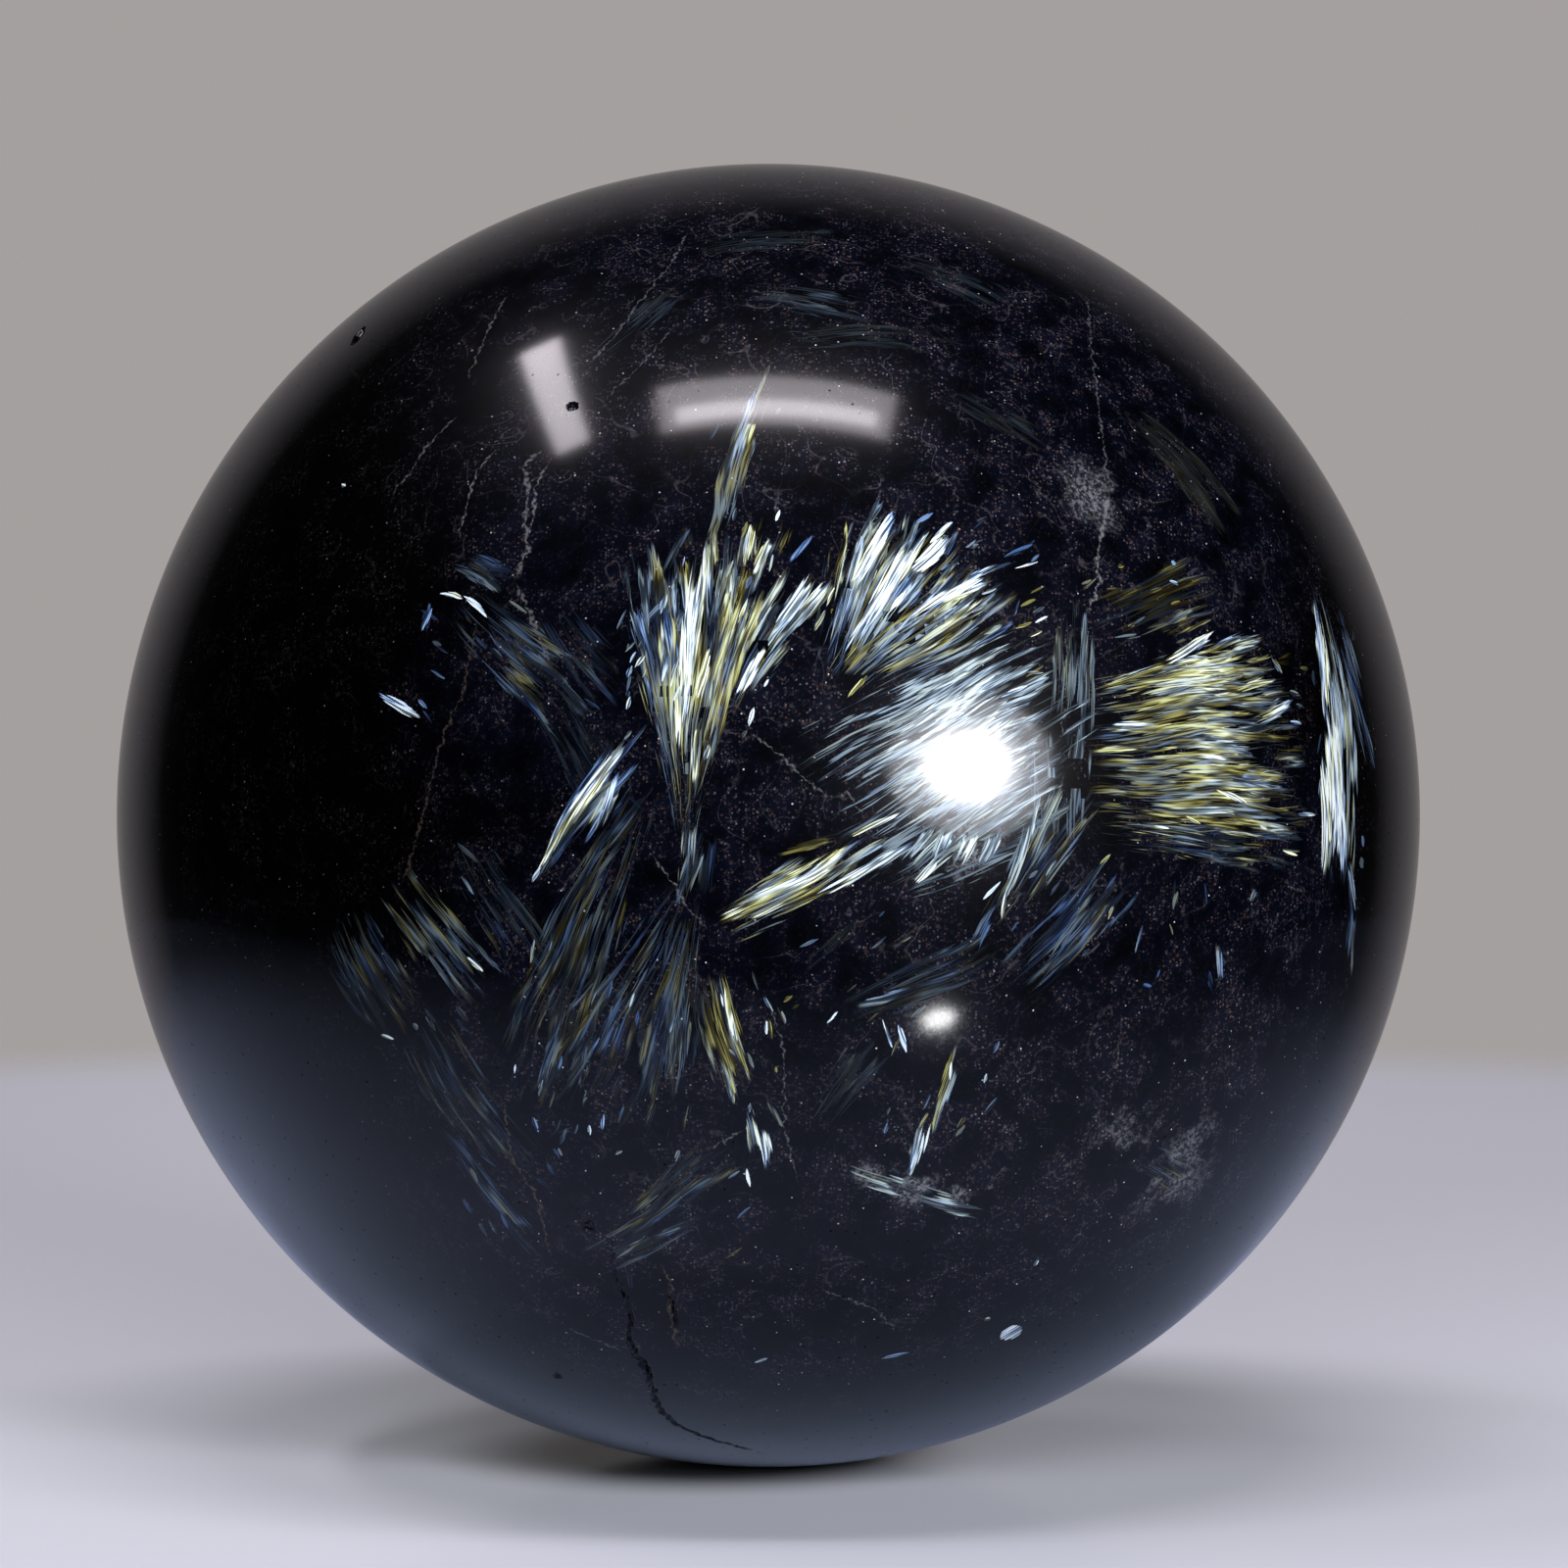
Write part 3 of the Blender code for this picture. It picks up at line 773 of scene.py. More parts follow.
DOWNWARD_SPRAYS = [
    (706, 900, 608, 1150, 16, 95, 0, 0.00, 0.34, 0.75, 0),
    (660, 800, 530, 1130, 16, 60, 0, 0.05, 0.30, 0.70, 0),
    (700, 930, 690, 1110, 10, 36, 0, 0.00, 0.27, 0.55, 0),
    (630, 1258, 750, 1165, 16, 30, 0, 0.05, 0.32, 0.58, 0),
    (600, 1290, 710, 1230, 14, 26, 0, -0.15, 0.32, 0.58, 0),
    (579, 1014, 552, 1119, 6, 8, 0, 0.30, 0.38, 0.60, 0.2),
    (554, 1098, 549, 1122, 3, 4, 0, 0.40, 0.75, 0.90, 0.6),
    (648, 1008, 609, 1107, 10, 14, 0, -0.90, 0.40, 0.55, 0.2),
    (648, 1012, 641, 1030, 3, 3, 0, -0.30, 0.75, 0.90, 0.6),
    (686, 1008, 654, 1107, 10, 13, 0, -1.00, 0.26, 0.50, 0.2),
    (688, 1028, 683, 1058, 3, 3, 0, -0.40, 0.85, 0.90, 0.6),
    (705, 1039, 702, 1068, 3, 3, 0, 0.05, 0.95, 0.95, 0.7),
    (722, 990, 752, 1130, 17, 22, 0, 0.50, 0.58, 0.75, 0.1),
    (736, 1002, 753, 1072, 5, 3, 0, 0.00, 1.10, 0.95, 0.6),
    (740, 1085, 751, 1130, 3, 4, 0, 0.60, 0.65, 0.80, 0.5),
    (766, 1128, 782, 1196, 11, 13, 0, 0.00, 1.00, 0.80, 0.2),
    (766, 1123, 764, 1138, 3, 3, 0, 0.00, 1.05, 1.00, 0.6),
    (781, 1120, 802, 1154, 4, 5, 0, 0.10, 0.42, 0.65, 0.3),
    (761, 1190, 766, 1213, 3, 3, 0, 0.00, 1.15, 1.00, 0.7),
    (782, 1040, 782, 1058, 3, 3, 0, -0.40, 0.95, 0.95, 0.7),
    (899, 1036, 912, 1074, 3, 4, 0, -0.35, 1.10, 0.92, 0.5),
    (915, 1040, 926, 1078, 4, 5, 0, -0.05, 1.15, 0.95, 0.4),
    (948, 1134, 926, 1202, 9, 6, 0, 0.25, 0.95, 0.85, 0.4),
    (932, 1182, 924, 1204, 3, 3, 0, -0.80, 0.70, 0.90, 0.5),
    (971, 1081, 969, 1105, 3, 3, 0, 0.10, 0.90, 0.95, 0.6),
    (978, 1062, 953, 1160, 6, 8, 0, 0.35, 0.62, 0.80, 0.3),
    (1007, 1094, 1004, 1107, 3, 3, 0, 0.10, 0.70, 0.90, 0.5),
    (1021, 1116, 1000, 1143, 4, 4, 0, -0.10, 0.45, 0.70, 0.3),
    (601, 1146, 602, 1160, 3, 3, 0, -0.50, 1.00, 0.95, 0.6),
    (616, 1133, 614, 1157, 3, 3, 0, -0.90, 0.75, 0.90, 0.5),
    (542, 1136, 549, 1157, 3, 4, 0, -1.00, 0.60, 0.85, 0.4),
    (526, 1085, 525, 1097, 2, 2, 0, -0.50, 0.95, 1.00, 0.5),
    (450, 1145, 560, 1288, 9, 12, 0, -0.45, 0.38, 0.60, 0.2),
    (509, 1234, 520, 1257, 3, 4, 0, -1.00, 0.60, 0.85, 0.4),
    (686, 1197, 640, 1240, 6, 5, 0, 0.50, 0.36, 0.65, 0.3),
    (655, 1264, 615, 1288, 4, 5, 0, -0.40, 0.60, 0.70, 0.3),
    (706, 1244, 659, 1266, 5, 4, 0, -0.30, 0.42, 0.65, 0.3),
    (640, 1293, 645, 1318, 5, 6, 0, -0.40, 0.42, 0.65, 0.2),
    (768, 1391, 784, 1385, 4, 4, 0, 0.00, 0.70, 0.75, 0.2),
    (895, 1387, 932, 1379, 3, 3, 0, -1.00, 0.60, 0.95, 0.6),
    (1003, 1347, 1012, 1346, 4, 4, 0, -0.20, 0.80, 0.80, 0.2),
    (1018, 1368, 1046, 1352, 11, 11, 0, -0.40, 1.00, 1.00, 0.1),
    (1054, 1294, 1060, 1283, 3, 3, 0, -0.50, 0.90, 0.90, 0.5),
    (1170, 1180, 1240, 1215, 18, 20, 0, 0.20, 0.34, 0.55, 0),
]

# %% Scattered flashes at the left and the top
LEFT_AND_TOP = [
    (446, 606, 475, 612, 5, 6, 2, -0.50, 1.10, 0.90, 0.5),
    (470, 606, 500, 634, 5, 5, 2, -0.35, 1.00, 0.90, 0.5),
    (428, 648, 442, 612, 6, 7, 0, -0.80, 0.75, 0.75, 0.3),
    (462, 570, 520, 596, 12, 16, 3, -0.45, 0.40, 0.65, 0.1),
    (500, 632, 545, 690, 9, 14, 0, -0.15, 0.42, 0.65, 0.1),
    (435, 650, 439, 611, 5, 5, 0, -0.90, 0.50, 0.60, 0.2),
    (480, 580, 530, 590, 8, 8, 4, -0.70, 0.26, 0.50, 0.2),
    (384, 707, 430, 733, 4, 6, 0, -0.45, 0.95, 0.85, 0.6),
    (497, 658, 515, 676, 5, 6, 0, -0.15, 0.42, 0.60, 0.3),
    (470, 612, 600, 735, 22, 42, 0, -0.20, 0.32, 0.70, 0),
    (560, 620, 640, 720, 20, 30, 0, -0.40, 0.24, 0.48, 0),
    (400, 895, 495, 1020, 26, 34, 0, 0.00, 0.40, 0.80, 0),
    (350, 930, 420, 1060, 24, 38, 0, 0.05, 0.28, 0.75, 0),
    (470, 860, 560, 1010, 20, 34, 0, -0.20, 0.22, 0.65, 0),
    (475, 975, 495, 993, 4, 4, 0, -0.55, 1.00, 0.90, 0.4),
    (463, 857, 492, 884, 4, 4, 0, -0.95, 0.24, 0.70, 0.4),
    (335, 978, 385, 1048, 10, 14, 0, -0.30, 0.20, 0.50, 0.1),
    (386, 1055, 404, 1061, 3, 3, 0, -0.20, 0.80, 0.80, 0.5),
    (425, 1040, 530, 1200, 28, 40, 0, -0.10, 0.28, 0.65, 0),
    (724, 575, 784, 380, 13, 15, 3, 0.10, 0.48, 0.80, 0.2),
    (735, 520, 789, 374, 8, 6, 3, -0.25, 0.66, 0.80, 0.4),
    (748, 475, 777, 384, 5, 5, 0, -0.60, 0.66, 0.80, 0.6),
    (757, 470, 771, 418, 4, 5, 0, 0.30, 0.78, 0.85, 0.6),
    (727, 560, 741, 470, 6, 8, 0, 0.50, 0.46, 0.72, 0.3),
    (1166, 445, 1238, 511, 8, 8, 0, 0.80, 0.14, 0.50, 0.1),
    (348, 494, 353, 496, 3, 3, 0, -0.90, 0.90, 0.90, 0.3),
    (1195, 571, 1200, 577, 3, 4, 0, -0.80, 0.60, 0.80, 0.2),
    (1192, 592, 1204, 597, 3, 4, 0, -0.60, 0.85, 0.80, 0.3),
    (1186, 574, 1197, 582, 8, 8, 0, 0.50, 0.14, 0.50, 0),
    (1165, 1004, 1176, 1007, 3, 3, 0, -0.90, 0.45, 0.80, 0.3),
    (1170, 1122, 1177, 1125, 3, 3, 0, -0.90, 0.45, 0.80, 0.3),
]

for fan in (
    LEFT_FAN,
    MIDDLE_BUNDLE,
    UPPER_RIGHT_FAN,
    HIGHLIGHT_BLADES,
    GOLD_FAN,
    FAR_RIGHT,
    LOWER_BLADES,
    DOWNWARD_SPRAYS,
    LEFT_AND_TOP,
):
    for bundle in fan:
        stroke(*bundle)
for bundle in GREY_FIBRES_AND_PAINTED_SHEEN:
    stroke(*bundle, variety=GREY_VARIETY)

FLECKS = [
    # how many, left, top, right and bottom of their box, lean, tone, light
    (16, 632, 560, 700, 760, 68, -0.45, 0.80),
    (12, 735, 520, 800, 650, 72, 0.35, 0.70),
    (12, 940, 525, 1060, 600, 38, -0.75, 0.60),
    (10, 1000, 600, 1075, 690, 25, 0.20, 0.70),
    (16, 1105, 575, 1245, 660, 22, 0.55, 0.45),
    (16, 1215, 650, 1335, 850, -12, -0.15, 0.95),
    (12, 1335, 600, 1400, 960, 97, -0.45, 0.60),
    (16, 1020, 870, 1150, 1010, 52, -0.25, 0.60),
    (14, 430, 580, 620, 740, -38, -0.60, 0.55),
    (18, 540, 960, 700, 1180, 70, -0.40, 0.60),
    (12, 720, 1000, 800, 1210, -70, 0.20, 0.75),
    (12, 400, 900, 500, 1070, -55, -0.20, 0.50),
    (10, 470, 1140, 580, 1290, -58, -0.60, 0.50),
    (12, 600, 1170, 760, 1300, 38, -0.15, 0.50),
    (10, 780, 900, 940, 1040, 40, 0.05, 0.50),
    (10, 1150, 900, 1330, 1010, 85, -0.60, 0.45),
    (10, 900, 1040, 1030, 1180, 60, 0.10, 0.55),
    (8, 700, 360, 800, 540, 65, -0.10, 0.35),
]
for patch in FLECKS:
    flecks(*patch)
print(f"{len(strokes)} bundles on the front")

# %% [markdown]
# ## The flashes of the other sides
# The rest of the ball came from the same rock, so it has fans of the same kinds, blue, white and
# gold, with black stone between them. They are drawn by chance, from a fixed seed, as fans that
# each have a dim ground and a few bright blades.

# %% Fans all round
FAN_COUNT = 20
FAN_HALF_WIDTHS = (0.04, 0.34)  # at a fan's root and at its tips, as shares of its length
FAN_LEAN = 0.38  # how far a blade may lean from the middle of its fan, as a slope


def random_fan(middle, length, tone, light):
    """A fan of blades round this direction, about this long and this warm."""
    aside = middle.orthogonal()
    aside.rotate(Matrix.Rotation(CHANCE.uniform(0, math.tau), 3, middle))
    onward = middle.cross(aside)
    root = (middle - 0.5 * length * onward).normalized()
    strokes.append(
        Stroke(
            root,
            (middle + 0.5 * length * onward).normalized(),
            [share * length for share in FAN_HALF_WIDTHS],
            0,
            tone,
            0.6 * light,
            0.72,
            0,
            1.0,
            len(strokes),
        )
    )
    for _ in range(int(CHANCE.integers(9, 17))):
        lean = CHANCE.uniform(-FAN_LEAN, FAN_LEAN)
        near, far = sorted(CHANCE.uniform(0.1, 1.1, 2).tolist())
        far = max(far, near + 0.15)
        ray = onward + lean * aside
        width = CHANCE.uniform(0.004, 0.013)
        strokes.append(
            Stroke(
                (root + near * length * ray).normalized(),
                (root + far * length * ray).normalized(),
                [width * 0.6, width],
                0,
                float(np.clip(tone + CHANCE.normal(0, 0.35), -1, 1)),
                light * CHANCE.uniform(0.5, 1.0),
                CHANCE.uniform(0.7, 0.95),
                CHANCE.uniform(0.4, 0.9),
                1.0,
                len(strokes),
            )
        )


def spread_of_directions(count):
    """Directions spread evenly over the ball, on a golden spiral."""
    for i in range(count):
        height = 1 - 2 * (i + 0.5) / count
        angle = i * math.pi * (3 - math.sqrt(5))
        flat = math.sqrt(1 - height**2)
        yield Vector((flat * math.cos(angle), flat * math.sin(angle), height))


FRONT_EDGE = -0.15  # a direction is on the front when it leans to the eye by more than this
made = 0
for direction in spread_of_directions(FAN_COUNT * 2):
    if direction.dot(-AWAY) > FRONT_EDGE or direction.z < -0.85:
        continue
    random_fan(
        direction,
        CHANCE.uniform(0.40, 0.80),
        float(CHANCE.choice([-0.5, -0.1, 0.1, 0.5])),
        CHANCE.uniform(0.8, 1.5),
    )
    made += 1
print(f"{made} fans on the other sides, {len(strokes)} bundles in all")

# %% [markdown]
# ## Sprays of fibres: writing them on the ball
# The shader has to know, at each point, which bundle it is in and where: how far along, how far
# across, and how its fibres run. Those are stored as vectors at the corners of the faces, in
# five layers, because bundles overlap. Each face takes the bundles that reach it, one to a layer.
# A great circle from the bundle's start to its end is the straight line of a ball, so distances
# along and across it are easy to measure.

# %% Lay the bundles on the faces
LAYERS = 5
FIBRE = 0.12 * MM / BALL_RADIUS  # the spacing of fibres across a bundle, as an angle
FIBRE_RUN = 2.4 * MM / BALL_RADIUS  # how far one fibre keeps its brightness, as an angle
MARGIN = 0.28  # how far past its nominal edge a bundle may show

mesh = ball.data
corner_vertex = np.empty(len(mesh.loops), np.int32)
mesh.loops.foreach_get("vertex_index", corner_vertex)
face_start = np.empty(len(mesh.polygons), np.int32)
mesh.polygons.foreach_get("loop_start", face_start)
face_size = np.diff(np.append(face_start, len(mesh.loops)))
corner_face = np.repeat(np.arange(len(mesh.polygons)), face_size)


def local_frame(bundle):
    """The start, onward and aside directions of a bundle, and the angle that it spans."""
    start, end = np.array(bundle.start), np.array(bundle.end)
    aside = np.cross(start, end)
    aside /= np.linalg.norm(aside)
    return start, np.cross(aside, start), aside, bundle.start.angle(bundle.end)


def place_in(bundle):
    """Across and along coordinates of every vertex, and the bundle's mean half width."""
    start, onward, aside, span = local_frame(bundle)
    along = np.arctan2(directions @ onward, directions @ start) / span
    across = np.arcsin(np.clip(directions @ aside, -1, 1))
    inside = np.clip(along, 0, 1)
    across -= bundle.bend * 4 * inside * (1 - inside)
    half = bundle.half[0] + (bundle.half[1] - bundle.half[0]) * np.clip(along, -0.2, 1.2)
    half = np.maximum(half, 0.3 * min(bundle.half))
    return across / half, along, sum(bundle.half) / 2, span


def lay_bundles():
    """Writes each bundle's coordinates to the first free layer of each face that it reaches."""
    taken = np.zeros(len(mesh.polygons), np.int32)
    place = np.zeros((LAYERS, len(mesh.loops), 3), np.float32)
    grain = np.zeros((LAYERS, len(mesh.loops), 3), np.float32)
    look = np.zeros((LAYERS, len(mesh.loops), 3), np.float32)
    place[:, :, 0] = 9
    dropped = 0
    for bundle in sorted(strokes, key=lambda item: -item.light):
        across, along, mean_half, span = place_in(bundle)
        u, v = across[corner_vertex], along[corner_vertex]
        facing = (directions @ np.array(bundle.start))[corner_vertex] > 0.2
        reaches = (
            (np.minimum.reduceat(u, face_start) < 1 + MARGIN)
            & (np.maximum.reduceat(u, face_start) > -1 - MARGIN)
            & (np.minimum.reduceat(v, face_start) < 1)
            & (np.maximum.reduceat(v, face_start) > 0)
            & np.minimum.reduceat(facing, face_start)
        )
        dropped += np.count_nonzero(reaches & (taken >= LAYERS))
        reaches &= taken < LAYERS
        chosen = reaches[corner_face]
        layer = taken[corner_face][chosen]
        corners = np.nonzero(chosen)[0]
        u, v = u[chosen], v[chosen]
        light = np.full(len(u), bundle.light)
        place[layer, corners] = np.stack([u, v, light], 1)
        fibres = u * mean_half / FIBRE + 37.7 * bundle.seed
        runs = v * span / FIBRE_RUN + 11.3 * bundle.seed
        grain[layer, corners] = np.stack([fibres, runs, np.full(len(u), bundle.tone)], 1)
        look[layer, corners] = (bundle.fill, bundle.point, bundle.variety)
        taken[reaches] += 1
    for name, values in (("place", place), ("grain", grain), ("look", look)):
        for i in range(LAYERS):
            store = mesh.attributes.new(f"fibre_{name}_{i}", "FLOAT_VECTOR", "CORNER")
            store.data.foreach_set("vector", values[i].ravel())
    return taken, dropped


taken, dropped = lay_bundles()
print(f"faces with 0 to {LAYERS} bundles: {np.bincount(taken, minlength=LAYERS + 1)}")
print(f"{dropped} faces were full for a dimmer bundle")

# %% [markdown]
# ## Healed cracks
# Old cracks have healed as hairlines, pale or rusty, and a few are still dark. Each is a line of
# points, and the ball stores how far each corner is from the line and how far along it, so the
# shader can draw a broken, wandering hairline there.

# %% Crack lines
PALE, RUSTY, DARK = 1.0, 0.0, -1.0
CRACKS = [
    # points, half width in pixels, tone, strength
    ([(556, 456), (534, 475), (540, 501), (535, 533), (540, 558), (524, 593)], 3.2, PALE, 0.6),
    ([(524, 593), (538, 618), (546, 640), (556, 664), (562, 684)], 3.5, PALE, 0.45),
    ([(560, 470), (546, 498), (545, 530), (532, 556)], 2.0, PALE, 0.7),
    ([(470, 421), (435, 456), (419, 482), (397, 507)], 1.8, PALE, 0.5),
    ([(508, 456), (486, 482), (476, 517), (467, 552)], 1.8, PALE, 0.6),
    ([(518, 300), (502, 329), (490, 356), (476, 389)], 2.0, PALE, 0.5),
    ([(487, 632), (473, 708), (460, 731), (448, 766), (432, 830), (412, 903)], 2.0, RUSTY, 0.55),
    ([(764, 746), (801, 774), (826, 800), (852, 816)], 1.6, PALE, 0.5),
    ([(852, 816), (864, 806), (884, 838)], 1.6, PALE, 0.6),
    ([(1109, 303), (1113, 354), (1121, 420), (1132, 501)], 1.8, PALE, 0.4),
    ([(1132, 501), (1119, 571), (1122, 596), (1109, 628)], 2.6, PALE, 0.8),
    ([(514, 1121), (522, 1182), (549, 1223), (562, 1284)], 2.2, RUSTY, 0.9),
    ([(565, 1204), (601, 1252), (623, 1267), (627, 1300), (642, 1332)], 2.0, DARK, 1),
    ([(642, 1332), (641, 1367), (661, 1399), (674, 1438), (710, 1463), (787, 1486)], 1.8, DARK, 1),
    ([(673, 1287), (686, 1312), (683, 1335), (692, 1379)], 2.4, RUSTY, 0.9),
    ([(762, 1150), (737, 1166), (718, 1174)], 2.0, PALE, 0.5),
    ([(833, 1314), (893, 1335), (916, 1360)], 1.8, PALE, 0.4),
    ([(702, 236), (686, 268), (629, 341), (600, 373)], 1.8, PALE, 0.5),
    ([(689, 332), (654, 373), (616, 408)], 1.4, PALE, 0.4),
    ([(575, 1354), (600, 1364), (640, 1380)], 2.0, PALE, 0.4),
    ([(663, 870), (690, 905), (700, 925), (724, 950)], 1.8, PALE, 0.5),
    ([(784, 1020), (800, 1070), (800, 1150), (815, 1210)], 1.4, PALE, 0.4),
    ([(1086, 640), (1092, 700), (1080, 760)], 1.4, PALE, 0.4),
]
CRACK_LAYERS = 2
CRACK_REACH = 0.7 * MM / BALL_RADIUS


def crack_coordinates(path):
    """Signed distance from the crack and distance along it, for every vertex, as angles."""
    across = np.full(len(directions), 9.0)
    along = np.zeros(len(directions))
    run_so_far = 0.0
    for i, (start, end) in enumerate(zip(path, path[1:])):
        run = end - start
        length = np.linalg.norm(run)
        onward = run / length
        aside = np.cross((start + end) / 2, onward)
        aside /= np.linalg.norm(aside)
        ahead = (directions - start) @ onward
        inside = np.clip(ahead, 0, length)
        off = directions - start - inside[:, None] * onward
        distance = np.linalg.norm(off, axis=1)
        distance = np.where(off @ aside < 0, -distance, distance)
        ends = (i == 0) & (ahead < 0) | (i == len(path) - 2) & (ahead > length)
        nearer = np.abs(distance) < np.abs(across)
        across = np.where(nearer, distance, across)
        along = np.where(nearer, run_so_far + np.where(ends, ahead, inside), along)
        run_so_far += length
    return across, along, run_so_far


def lay_cracks():
    """Writes each crack's coordinates to the faces that it crosses."""
    taken = np.zeros(len(mesh.polygons), np.int32)
    line = np.zeros((CRACK_LAYERS, len(mesh.loops), 3), np.float32)
    look = np.zeros((CRACK_LAYERS, len(mesh.loops), 3), np.float32)
    line[:, :, 0] = 9
    for pixels, half, tone, strength in CRACKS:
        path = np.array([on_ball(pixel) for pixel in pixels])
        across, along, length = crack_coordinates(path)
        near = (np.abs(across) < CRACK_REACH)[corner_vertex]
        reaches = np.maximum.reduceat(near, face_start) & (taken < CRACK_LAYERS)
        chosen = reaches[corner_face]
        layer = taken[corner_face][chosen]
        corners = np.nonzero(chosen)[0]
        u = across[corner_vertex][chosen] * BALL_RADIUS / MM
        v = along[corner_vertex][chosen] * BALL_RADIUS / MM
        left = length * BALL_RADIUS / MM - v
        line[layer, corners] = np.stack([u, v, left], 1)
        look[layer, corners] = (half * PIXEL / MM, tone, strength)
        taken[reaches] += 1
    for name, values in (("line", line), ("look", look)):
        for i in range(CRACK_LAYERS):
            store = mesh.attributes.new(f"crack_{name}_{i}", "FLOAT_VECTOR", "CORNER")
            store.data.foreach_set("vector", values[i].ravel())
    return taken


crossed = lay_cracks()
print(f"{np.count_nonzero(crossed)} faces are crossed by the {len(CRACKS)} cracks")

# %% [markdown]
# ## Where the black stone is speckled
# At the left of the front the body is almost pure black. Towards the top and the lower right it
# is peppered with grains of other minerals and crossed by a web of fine pale lines, and in a few
# small places it is crumbly and pale. Two more pale patches are painted highlights, where the
# polish mirrors the softbox and the small lamp. Soft zones round a few middles say how much of each
# there is, and they are stored on the vertices.

# %% Zones of speckle
ZONES = [
    # middle in the picture, reach as an angle, speckle, web
    ((860, 330), 0.75, 1.0, 1.0),
    ((1080, 430), 0.60, 1.0, 0.8),
    ((620, 520), 0.35, 0.6, 0.6),
    ((1100, 1130), 0.60, 0.9, 0.6),
    ((960, 1000), 0.40, 0.7, 0.6),
    ((700, 1300), 0.55, 0.7, 0.5),
    ((560, 700), 0.35, 0.5, 0.3),
    ((800, 800), 0.35, 0.8, 0.5),
    ((620, 1050), 0.45, 0.7, 0.4),
    ((1250, 950), 0.40, 0.9, 0.4),
]
CRUMBS_AND_PAINTED_HIGHLIGHTS = [
    # middle in the picture, reach as an angle, how pale
    ((886, 1201), 0.026, 0.9),
    ((930, 1212), 0.034, 1.0),
    ((980, 1222), 0.028, 0.8),
    ((1200, 1190), 0.090, 0.70),
    ((1150, 1160), 0.070, 0.50),
    ((1118, 508), 0.060, 0.70),
    # These two are painted highlights: the small lamp's and the softbox's reflections, painted
    # pale.
    ((957, 1040), 0.040, 0.45),
    ((992, 856), 0.060, 1.0),
]


def lay_zones():
    """Stores how speckled, webbed and crumbly the stone is, and two painted highlights, at each
    vertex.
    """
    speckle = np.full(len(directions), 0.15)
    web = np.full(len(directions), 0.08)
    spots = [(np.array(on_ball(pixel)), *rest) for pixel, *rest in ZONES]
    for direction in spread_of_directions(22):
        if direction.dot(-AWAY) < 0.1:
            spots.append((np.array(direction), 0.5, CHANCE.uniform(0.3, 1), CHANCE.uniform(0, 1)))
    for middle, reach, most_speckle, most_web in spots:
        angle = np.arccos(np.clip(directions @ middle, -1, 1)) / reach
        near = np.clip(1.3 - angle, 0, 1) ** 1.5
        speckle = np.maximum(speckle, most_speckle * near)
        web = np.maximum(web, most_web * near)
    pale_crumbs_and_highlights = np.zeros(len(directions))
    for pixel, reach, pale in CRUMBS_AND_PAINTED_HIGHLIGHTS:
        angle = np.arccos(np.clip(directions @ np.array(on_ball(pixel)), -1, 1)) / reach
        pale_crumbs_and_highlights = np.maximum(pale_crumbs_and_highlights, pale * np.clip(1.3 - angle, 0, 1))
    values = np.stack([speckle, web, pale_crumbs_and_highlights], 1)
    store = mesh.attributes.new("stone_zones", "FLOAT_VECTOR", "POINT")
    store.data.foreach_set("vector", values.astype(np.float32).ravel())
    return speckle


speckle = lay_zones()
print(f"mean speckle {speckle.mean():.2f}")

# %% [markdown]
# ## The fibre group
# One node group draws a bundle from its stored coordinates. Noise that is stretched along the
# fibres gives blades and hairs of differing brightness. A lens-shaped limit gives a blade its
# pointed ends, and noise on that limit splinters the sides. The brightness then picks a colour:
# deep blue, pale teal or olive gold when dim, and white when bright, as on the real stone.

# %% Fibre group
BLADE_SCALE = (0.30, 0.62)  # across and along the fibres
HAIR_SCALE = (1.35, 1.20)


def noise_at(tree, x, y, detail=0.0, roughness=0.5):
    """Noise at a made-up point, such as across and along a bundle."""
    point = put(tree, "CombineXYZ", {"X": x, "Y": y}).outputs[0]
    inputs = {"Vector": point, "Scale": 1.0, "Detail": detail, "Roughness": roughness}
    return put(tree, "TexNoise", inputs, noise_dimensions="2D")


